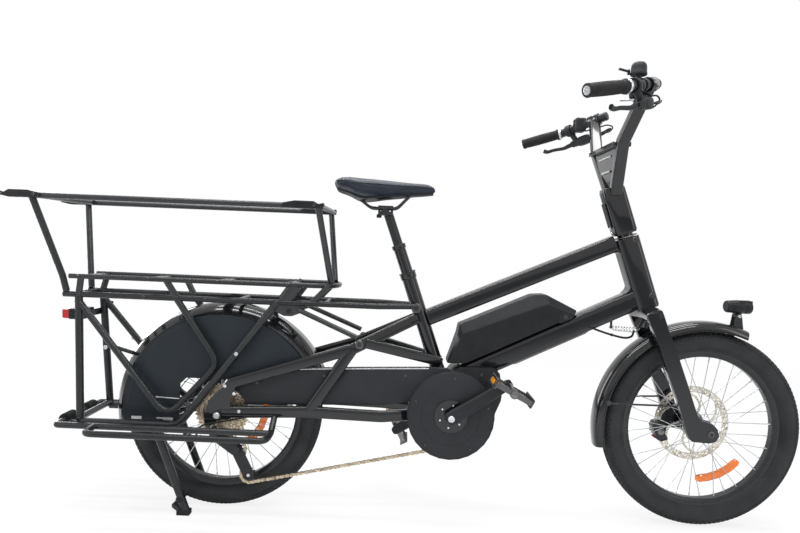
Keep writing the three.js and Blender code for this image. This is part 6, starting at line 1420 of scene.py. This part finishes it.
def dress_motor():
    """Cover plates, ribs and screws on the motor unit, which keeps its CAD solid."""
    plate = Piece().lathe(P(CRANK_X, 52.4, CRANK_Z), ACROSS, [(16, 0), (52, 0), (54, 0.6), (54, 1.4),
                                                              (52, 2), (30, 2.4), (28, 1.6), (16, 1.6)], 72,
                          closed=True)
    plate.done("motor_cover_left", "frame", LOOKS["matt"])
    screws = Piece()
    for i in range(6):
        a = TURN * (i + 0.5) / 6
        screws.bolt(polar(CRANK_X, CRANK_Z, 46, a, 54), ACROSS, 3.2, 1.8)
    for x, z in ((676, 384), (716, 372), (640, 352)):
        for side, y in ((-1, 36), (1, 52)):
            screws.bolt(P(x, side * y, z), ACROSS * side, 4.2, 2.6)
    screws.done("motor_screws", "frame", LOOKS["dark_steel"])
    ribs = Piece()
    for i in range(7):
        ribs.block(P(650 + 11 * i, 8, 244.5 + 4.2 * i + (9 if i > 5 else 0)), (2.6, 70, 7))
    ribs.done("motor_ribs", "frame", LOOKS["matt"], bevel=0.6)


def arch(piece, x, profile, start, end):
    """A ring part over a wheel: the profile pairs radius and Y, the angles in degrees climb from +X to +Z."""
    pairs = [(r, -y) for r, y in profile]
    sweep = math.radians(end - start)
    return piece.lathe(P(x, 0, AXLE_Z), -ACROSS, pairs, 120, True, math.radians(start), sweep, FORE)


def dress_covers():
    # Crown over the tyre: its near edge meets the flat shield's rim
    outer = rounded([(258, -50), (272, -36), (281.6, -15), (283, 6), (282.6, 24), (277, 34), (265, 38)], 4)
    inner = [(r - 2.4, y - math.copysign(1.4, y)) for r, y in outer]
    crown = arch(Piece(), 0, outer + inner[::-1], 20, 188)
    for side in SIDES.values():
        brace = on_side(side, -268, 422)
        angle = math.atan2(162, -268)
        foot = polar(0, AXLE_Z, 271, angle, side * 30)
        crown.rod(foot, brace, 5, sides=20)
    crown.done("rear_mudguard_crown", "frame", LOOKS["gloss"], "rear_mudguard", angle=30)
    # Flat shield with a rolled rim, its clips and a seam over the lower plate
    arc = arc_pairs(0, AXLE_Z, 254, math.radians(20), math.radians(168), 96)
    shield = Piece().plate([*arc, (-106, 226), (-106, 331), (-90, 347)], -50, -47.5)
    rim = [P(x * 0.994, -49, AXLE_Z + (z - AXLE_Z) * 0.994) for x, z in arc]
    shield.tube(rim, 3.4, 5, 12, ACROSS)
    for r in (236, 120):
        ridge = [polar(0, AXLE_Z, r, math.radians(a), -50) for a in range(40, 180, 2)]
        shield.tube(ridge, 1.2, 2.6, 8, ACROSS)
    shield.done("wheel_cover_skin", "frame", LOOKS["shield"], "wheel_cover", angle=30)
    plates = Piece()
    for x in (-217, -135):
        plates.block(P(x, -51.6, 238), (26, 2.6, 7))
    plates.block(P(-156, -51, 239), (18, 1.6, 3.4))
    plates.tube([P(-171, -51, 294), P(-127, -51, 292.5), P(-107, -51, 291.6)], 1.4, 3, 8, ACROSS)
    plates.done("shield_clips", "frame", LOOKS["pale"], bevel=0.6)
    # The guard beam's flange along its upper edge, in a light colour: a painted highlight along that edge
    shares = ((0.08, 0.5), (0.14, 0.72), (0.22, 0.84), (0.35, 0.92), (0.6, 0.99), (0.9, 1.06))
    route = spline([P(CRANK_X * a, -56.6, CRANK_Z + 112 * b - 2) for a, b in shares], 5)
    Piece().tube(route, 3, 3.4, 12, ACROSS).done("guard_flange_painted_highlight", "frame", LOOKS["band"])
    screws = Piece()
    for a, b in ((0.16, 0.55), (0.45, 0.78), (0.8, 0.86)):
        screws.bolt(P(CRANK_X * a, -57, CRANK_Z + 112 * b), -ACROSS, 3.6, 2)
    for i in range(5):
        a = TURN * (i + 0.2) / 5
        screws.bolt(polar(CRANK_X, CRANK_Z, 98, a, -76), -ACROSS, 2.8, 1.6)
    screws.done("guard_screws", "frame", LOOKS["dark_steel"])


def dress_front_guard():
    outer = rounded([(263, -33), (273, -30), (281, -23), (284.6, -12), (285.4, 0), (284.6, 12), (281, 23),
                     (273, 30), (263, 33)], 3)
    inner = [(r - 2.6, y * 0.94) for r, y in outer]
    guard = arch(Piece(), FRONT_X, outer + inner[::-1], 68, 192)
    for side in (-1, 1):
        bead = [(263 - 1.5, side * 32.4), (263, side * 34.2), (265.5, side * 34.2), (266, side * 32.4)]
        arch(guard, FRONT_X, bead, 68, 192)
    guard.done("front_mudguard_skin", "steerer", LOOKS["gloss"], "front_mudguard", angle=30)
    wires = Piece()
    angle = math.radians(166)
    for side in SIDES.values():
        foot = polar(FRONT_X, AXLE_Z, 263, angle, side * 34)
        wires.tube(spline([foot, foot + Vector((0.02, side * 0.006, 0)), P(1150, side * 48, 326),
                           P(1214, side * 55, 328)], 6), 5, sides=14)
        wires.lathe(foot, ACROSS * side, [(0, -2), (6.5, -2), (7, 0), (6.5, 3), (4, 4.4), (0, 4.6)], 24)
    wires.tube([P(1108, 0, 520), P(1116, 0, 545), column(-26)], 26, 10, 20, ACROSS)
    wires.done("front_guard_stays", "steerer", LOOKS["satin"], angle=40)
    bracket = Piece()
    seat = AXLE_Z + math.sqrt(285 ** 2 - 84 ** 2)
    for way in (-1, 1):
        arc = arc_pairs(LAMP_X, LAMP_Z, EAR_RADIUS, 0, math.pi, 10)
        bracket.plate([(1338, seat), (1362, seat - 3), *arc], way * 9, way * 12)
    bracket.block(P(LAMP_X, 0, seat - 3), (24, 24, 6))
    bracket.rod(P(LAMP_X, -13, LAMP_Z), P(LAMP_X, 13, LAMP_Z), 3.4, sides=18)
    bracket.done("lamp_bracket", "steerer", LOOKS["satin"], bevel=0.6)
    bolt = Piece().bolt(P(LAMP_X, -12, LAMP_Z), -ACROSS, 4.6, 3).bolt(P(LAMP_X, 12, LAMP_Z), ACROSS, 4.6, 3)
    bolt.done("lamp_bracket_screws", "steerer", LOOKS["alloy"])


def dress_lamps():
    barrel = Piece().lathe(P(1318, 0, 586), FORE, [(0, 0), (13, 0), (15.4, 2), (16, 5), (16.4, 12),
                                                   (15.6, 13), (16.6, 14), (15.8, 15), (16.8, 16), (16, 17),
                                                   (17, 18), (17.6, 30), (17.9, 44), (17.2, 46), (18, 48),
                                                   (18, 62), (17, 64), (15.4, 64), (14.6, 60), (0, 60)], 56)
    barrel.block(P(1366, 0, 600), (32, 27, 6))
    arc = arc_pairs(LAMP_X, LAMP_Z, EAR_RADIUS, math.pi, math.pi, 10)
    barrel.plate([(1338, 577), *arc, (1362, 577)], -6, 6)
    barrel.done("headlamp_barrel", "lamp", LOOKS["plastic"], "headlamp", bevel=0.5)
    lens = Piece().lathe(P(1378, 0, 586), FORE, [(14.8, -1), (14.6, 1), (12, 2.6), (7, 3.6), (0, 4)], 48)
    lens.done("headlamp_lens", "lamp", LOOKS["glass"])
    case = Piece().block(P(-394.5, 0, TAIL_Z), (36, 60, 28))
    case.done("tail_lamp_case", "frame", LOOKS["plastic"], "tail_lamp", bevel=2.4, segments=3)
    shell = Piece().skin([[P(x, y * share, TAIL_Z + z * share)
                           for y, z in ((-29, -13), (29, -13), (29, 13), (-29, 13))]
                          for x, share in ((-412.6, 0.97), (-426, 0.95), (-432, 0.86), (-434, 0.7))])
    shell.done("tail_lens", "frame", LOOKS["red"], bevel=1.6, segments=3)
    ribs = Piece()
    for rise in (-8.4, -4.2, 0, 4.2, 8.4):
        ribs.tube([P(-433, -19, TAIL_Z + rise), P(-434.2, 0, TAIL_Z + rise), P(-433, 19, TAIL_Z + rise)],
                  2.2, 1.4, 10, UP)
    ribs.done("tail_lens_ribs", "frame", LOOKS["red"])
    for word, side in SIDES.items():
        profile = []
        for i in range(15):
            y = 33 + 34 * i / 14
            radius = 17 - (1.7 if i % 2 else 0)
            profile += [(radius, y - 1.0), (radius, y + 1.0)]
        piece = Piece().lathe(P(BUMPER_X, 0, STEP_Z), ACROSS * side, [(9, 33), *profile, (9, 67)], 48)
        piece.done("bumper_ribbed_" + word, "frame", LOOKS["rubber"], "bumper_" + word, angle=30)


def dress_stand():
    stand = Piece()
    for side in SIDES.values():
        stand.tube([P(-150, side * 76, 204), P(-84, side * 76, 38), P(-72, side * 76, 8)], 20, sides=32)
        stand.lathe(P(-150, side * 76, 204), ACROSS, [(0, -11), (9, -11), (10, -10), (10, 10), (9, 11),
                                                      (0, 11)], 36)
        stand.rod(P(-83, side * 76, 8), P(-110, side * 56, 12), 7.5, sides=24)
    stand.rod(P(-110, -57, 12), P(-110, 57, 12), 7.5, sides=24)
    stand.done("stand_tubes", "stand", LOOKS["satin"], "centre_stand", bevel=0.5)
    feet = Piece()
    for side in SIDES.values():
        feet.block(P(-77.5, side * 76, 6.6), (33, 20, 13))
        for i in range(4):
            feet.block(P(-90 + 8 * i, side * 76, 0.9), (4, 20, 1.8))
        feet.lathe(P(-87, side * 76, 40), P(-150, 0, 204) - P(-72, 0, 8),
                   [(10, -6), (11.4, -5), (11.4, 5), (10, 6)], 28)
    feet.done("stand_feet", "stand", LOOKS["rubber"], bevel=1.6, segments=3)
    pins = Piece()
    for side in SIDES.values():
        for end in (61, 91):
            pins.bolt(P(-150, side * end, 204), ACROSS * side * (1 if end > 76 else -1), 6, 3)
    pins.done("stand_pins", "frame", LOOKS["dark_steel"])


def dress_stays():
    for word, side in SIDES.items():
        spot = lambda x, y, z: P(x, side * y, z)
        stays = Piece()
        stays.tube(bend([spot(30, 66, 342), spot(340, 62, 442), spot(484, 22, 513), spot(505, 18.5, 523.5)],
                        60, 14), 16, 28, 36, ACROSS, square=0.5)
        stays.tube([spot(340, 62, 442), spot(232, 66, 276)], 16, 28, 36, ACROSS, square=0.62)
        stays.tube(bend([spot(4, 66, 266), spot(232, 66, 276), spot(420, 66, 272), spot(528, 28, 272)], 60,
                        14), 16, 30, 36, ACROSS, square=0.62)
        stays.tube([spot(372, 58, 458), spot(556, 22, 414), spot(568, 15, 408)], 16, 26, 36, ACROSS,
                   square=0.5)
        shares = ((0.1, 0.37), (0.18, 0.3), (0.12, 0.15), (0.13, 0.08), (0.13, -0.04), (-0.02, -0.06),
                  (-0.06, -0.15), (-0.12, -0.13), (-0.14, 0.01), (-0.08, 0.16), (0.05, 0.29))
        outline = rounded_outline([(a * AXLE_Z, AXLE_Z + b * AXLE_Z) for a, b in shares], 7)
        stays.plate(outline, side * 58.5, side * 73.5)
        stays.lathe(P(0, side * 66, AXLE_Z), ACROSS * side, [(0, -6), (12, -6), (12, 12), (11, 14),
                                                             (0, 14)], 36)
        stays.done("stay_tubes_" + word, "frame", LOOKS["gloss"], "stays_" + word, bevel=1.0, angle=50)
        bolts = Piece().bolt(P(0, side * 80, AXLE_Z), ACROSS * side, 8, 3, 24)
        for x, z in ((42, 317), (56, 272), (18, 336)):
            bolts.bolt(P(x, side * 74, z), ACROSS * side, 4.6, 2.6)
        bolts.done("dropout_bolts_" + word, "frame", LOOKS["alloy"])


def rounded_outline(points, radius):
    """The outline with its corners cut round."""
    out = []
    for i, corner in enumerate(points):
        corner = Vector((*corner, 0))
        back, on = Vector((*points[i - 1], 0)) - corner, Vector((*points[(i + 1) % len(points)], 0)) - corner
        start = corner + back.normalized() * min(radius, back.length * 0.45)
        end = corner + on.normalized() * min(radius, on.length * 0.45)
        for t in (0, 0.25, 0.5, 0.75, 1):
            p = (1 - t) ** 2 * start + 2 * t * (1 - t) * corner + t * t * end
            out.append((p.x, p.y))
    return out


def dress_caliper():
    """Pistons, screws and the hose's banjo on the front caliper, which keeps its CAD solid."""
    angle = math.radians(196)
    x, z = FRONT_X + 88 * math.cos(angle), AXLE_Z + 88 * math.sin(angle)
    extra = Piece()
    for shift in (-17, 17):
        extra.bolt(P(x + shift, 58, z + shift * 0.2), ACROSS, 4.6, 3)
    extra.bolt(P(x - 4, 58, z + 12), ACROSS, 3.4, 4)
    extra.done("caliper_screws", "steerer", LOOKS["alloy"])
    caps = Piece().lathe(P(x, 58, z - 2), ACROSS, [(0, 0), (10, 0), (10.6, 1), (9, 2.4), (0, 2.4)], 32)
    caps.lathe(P(x, 30.4, z - 2), -ACROSS, [(0, 0), (9, 0), (9.4, 1), (8, 2), (0, 2)], 32)
    caps.done("caliper_caps", "steerer", LOOKS["dark_steel"])
    clip = Piece().block(P(x - 12, 44, z - 19.6), (10, 26, 2))
    clip.done("caliper_pad_clip", "steerer", LOOKS["red"], bevel=0.4)


LOOKS = finishes()
set_camera()
bpy.context.scene.view_settings.view_transform = "Standard"
set_light()
set_floor()

# CAD nodes that stay as they are, with their finish
KEPT = {
    "gloss": "down_tube",
    "satin": "rack_front_brace_right rack_front_brace_left derailleur_body derailleur_cage front_caliper",
    "plastic": "motor_unit bell_striker",
    "matt": "chain_guard",
    "alloy": "shift_lever steering_spring",
}
for look, names in KEPT.items():
    for name in names.split():
        dress_node(name, LOOKS[look])

DRESS = (dress_main_frame, dress_posts, dress_saddle, dress_head, dress_rack_frame, dress_braces,
         dress_deck, dress_high_rail, dress_footrests, dress_rack_screws, dress_stays, dress_covers,
         dress_motor, dress_battery, dress_chain, dress_sprockets, dress_changer, dress_cranks,
         dress_case_opening, dress_stand, dress_fork, dress_front_guard, dress_disc, dress_caliper,
         dress_spring, dress_stem, dress_bars, dress_brakes, dress_bell, dress_remote, dress_shifter,
         dress_cables, dress_lamps)
for dress in DRESS:
    dress()
dress_wheel("front", FRONT_X, "front_roller")
dress_wheel("rear", 0, "rear_roller")
reflector("front_reflector", FRONT_X, 138, math.radians(-64), "front_roller")
reflector("rear_reflector", 0, 108, math.radians(-26), "rear_roller")
dress_pedal("right", -1, 734.4, 373.3, 103, -27, "pedal_r")
dress_pedal("left", 1, 459.6, 190.7, 100, -62, "pedal_l")
